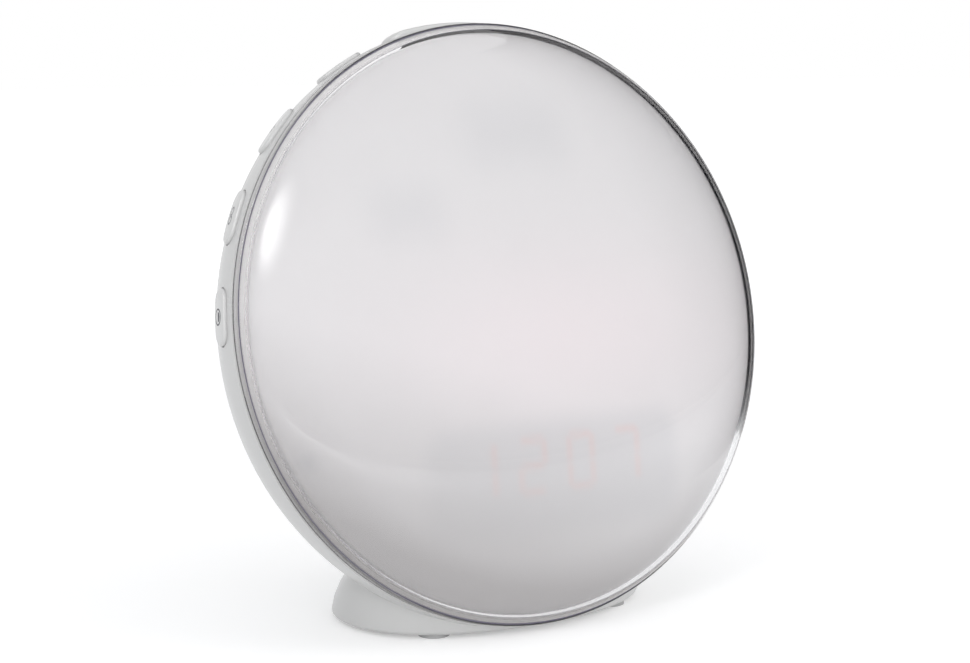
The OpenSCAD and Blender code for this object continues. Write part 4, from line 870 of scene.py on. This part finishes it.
def screw_tree():
    """Geometry Nodes: one screw from its sizes, on every point of the start mesh, turned by its turn value."""
    tree, into = group_of("screw_set", {
        "Places": "Geometry", "Shank Radius": 1.0, "Shank Length": 6.0, "Head Radius": 2.0, "Head Height": 1.3,
        "Thread Pitch": 0.8, "Steel": "Material"}, {"Geometry": "Geometry"}, "GeometryNodeTree")

    def of_input(name, share):
        return sum_of(tree, "MULTIPLY", into[name], share)

    def moved(mesh, z, scale_z=None):
        inputs = {"Geometry": mesh, "Translation": add(tree, "ShaderNodeCombineXYZ", {"Z": z})}
        if scale_z is not None:
            inputs["Scale"] = add(tree, "ShaderNodeCombineXYZ", {"X": 1, "Y": 1, "Z": scale_z})
        return add(tree, "GeometryNodeTransform", inputs)

    # The shank: a core that fills 0.82 of the radius, and a wire wound round it as the thread.
    core_r, reach = of_input("Shank Radius", 0.82), of_input("Shank Length", 0.9)
    core = add(tree, "GeometryNodeMeshCylinder", {"Vertices": 20, "Radius": core_r, "Depth": into["Shank Length"]})
    shank = moved(core, of_input("Shank Length", -0.5))
    spiral = add(tree, "GeometryNodeCurveSpiral", {
        "Resolution": 16, "Rotations": sum_of(tree, "DIVIDE", reach, into["Thread Pitch"]),
        "Start Radius": core_r, "End Radius": core_r, "Height": reach})
    wire = add(tree, "GeometryNodeCurvePrimitiveCircle", {"Resolution": 4, "Radius": of_input("Shank Radius", 0.17)})
    thread = add(tree, "GeometryNodeCurveToMesh", {"Curve": spiral, "Profile Curve": wire, "Fill Caps": True})
    rolled = moved(thread, of_input("Shank Length", -0.96))

    # The head: a flange under a flattened ball, with a cross cut into it.
    low = of_input("Head Height", 0.45)
    plate = add(tree, "GeometryNodeMeshCylinder", {"Vertices": 28, "Radius": into["Head Radius"], "Depth": low})
    ball = add(tree, "GeometryNodeMeshUVSphere", {"Segments": 28, "Rings": 16, "Radius": into["Head Radius"]})
    rise = sum_of(tree, "DIVIDE", sum_of(tree, "SUBTRACT", into["Head Height"], low), into["Head Radius"])
    whole = add(tree, "GeometryNodeMeshBoolean", {
        "Mesh 2": [moved(plate, sum_of(tree, "MULTIPLY", low, 0.5)), moved(ball, low, rise)]}, operation="UNION")
    slots = []
    for long, wide in ((1.2, 0.24), (0.24, 1.2)):
        size = add(tree, "ShaderNodeCombineXYZ", {
            "X": of_input("Head Radius", long), "Y": of_input("Head Radius", wide), "Z": into["Head Height"]})
        slots.append(moved(add(tree, "GeometryNodeMeshCube", {"Size": size}), into["Head Height"]))
    cross = add(tree, "GeometryNodeJoinGeometry", {0: slots})
    head = add(tree, "GeometryNodeMeshBoolean", {"Mesh 1": whole, "Mesh 2": cross}, operation="DIFFERENCE")

    screw = add(tree, "GeometryNodeJoinGeometry", {0: [head, shank, rolled]})
    turn = add(tree, "GeometryNodeInputNamedAttribute", {"Name": "turn"}, data_type="FLOAT_VECTOR")
    each = add(tree, "GeometryNodeInstanceOnPoints", {"Points": into["Places"], "Instance": screw, "Rotation": turn})
    real = add(tree, "GeometryNodeRealizeInstances", {0: each})
    add(tree, "NodeGroupOutput", {
        0: add(tree, "GeometryNodeSetMaterial", {"Geometry": real, "Material": into["Steel"]})})
    return tree


SCREW_SET = screw_tree()
zinc = metal("zinc_plate", (0.52, 0.53, 0.55), (0.42, 0.42, 0.42), 0.28)
LARGE, SMALL = (1.5, 2.8, 2.0), (1.0, 2.0, 1.3)  # shank radius, head radius, head height
corners = [(a, b) for a in (-1, 1) for b in (-1, 1)]
for node, body, places, (shank_r, head_r, head_t), length, facing_back, place in (
    ("housing_screws", "head", [(x * 45.963, y * 38.567, -38.393) for x, y in corners], LARGE, 13.0, True, HEAD),
    ("board_screws", "head", [(x * 30.063, 14 + y * 26, -16.6) for x, y in corners], SMALL, 4.2, True, HEAD),
    ("button_board_screws", "head", [(x * a, b, -12.5) for x in (-1, 1) for a, b in (
        (44.977, 56.543), (69.885, 18.334))] + [(x * 20.5, 68.0, -17.0) for x in (-1, 1)], SMALL, 6.6, False, HEAD),
    ("speaker_screws", "head", [(x * 17.5, 12.5 + y * 17.5, -42.8) for x, y in corners], SMALL, 3.2, False, HEAD),
    ("door_screw", "door", [(0, -15.8, -46.2)], (1.0, 2.0, 1.2), 4.0, True, HEAD),
    ("base_screws", "head", [(-34, 7, 2.3), (34, 7, 2.3), (0, 21, 2.3)], SMALL, 6.7, True, Matrix.Identity(4)),
):
    start = bpy.data.meshes.new(node + "_places")
    start.from_pydata([Vector(at) for at in places], [], [])
    # Each cross stands at a slightly different angle.
    turns = [turn for i in range(len(places)) for turn in (math.pi if facing_back else 0.0, 0.0, 0.7 * i + 0.3)]
    start.attributes.new("turn", "FLOAT_VECTOR", "POINT").data.foreach_set("vector", turns)
    grown(node + "_set", SCREW_SET, {
        "Shank Radius": shank_r, "Shank Length": length, "Head Radius": head_r, "Head Height": head_t,
        "Thread Pitch": 0.8 * shank_r, "Steel": zinc}, node, body, "screw_steel", place, start)

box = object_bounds()
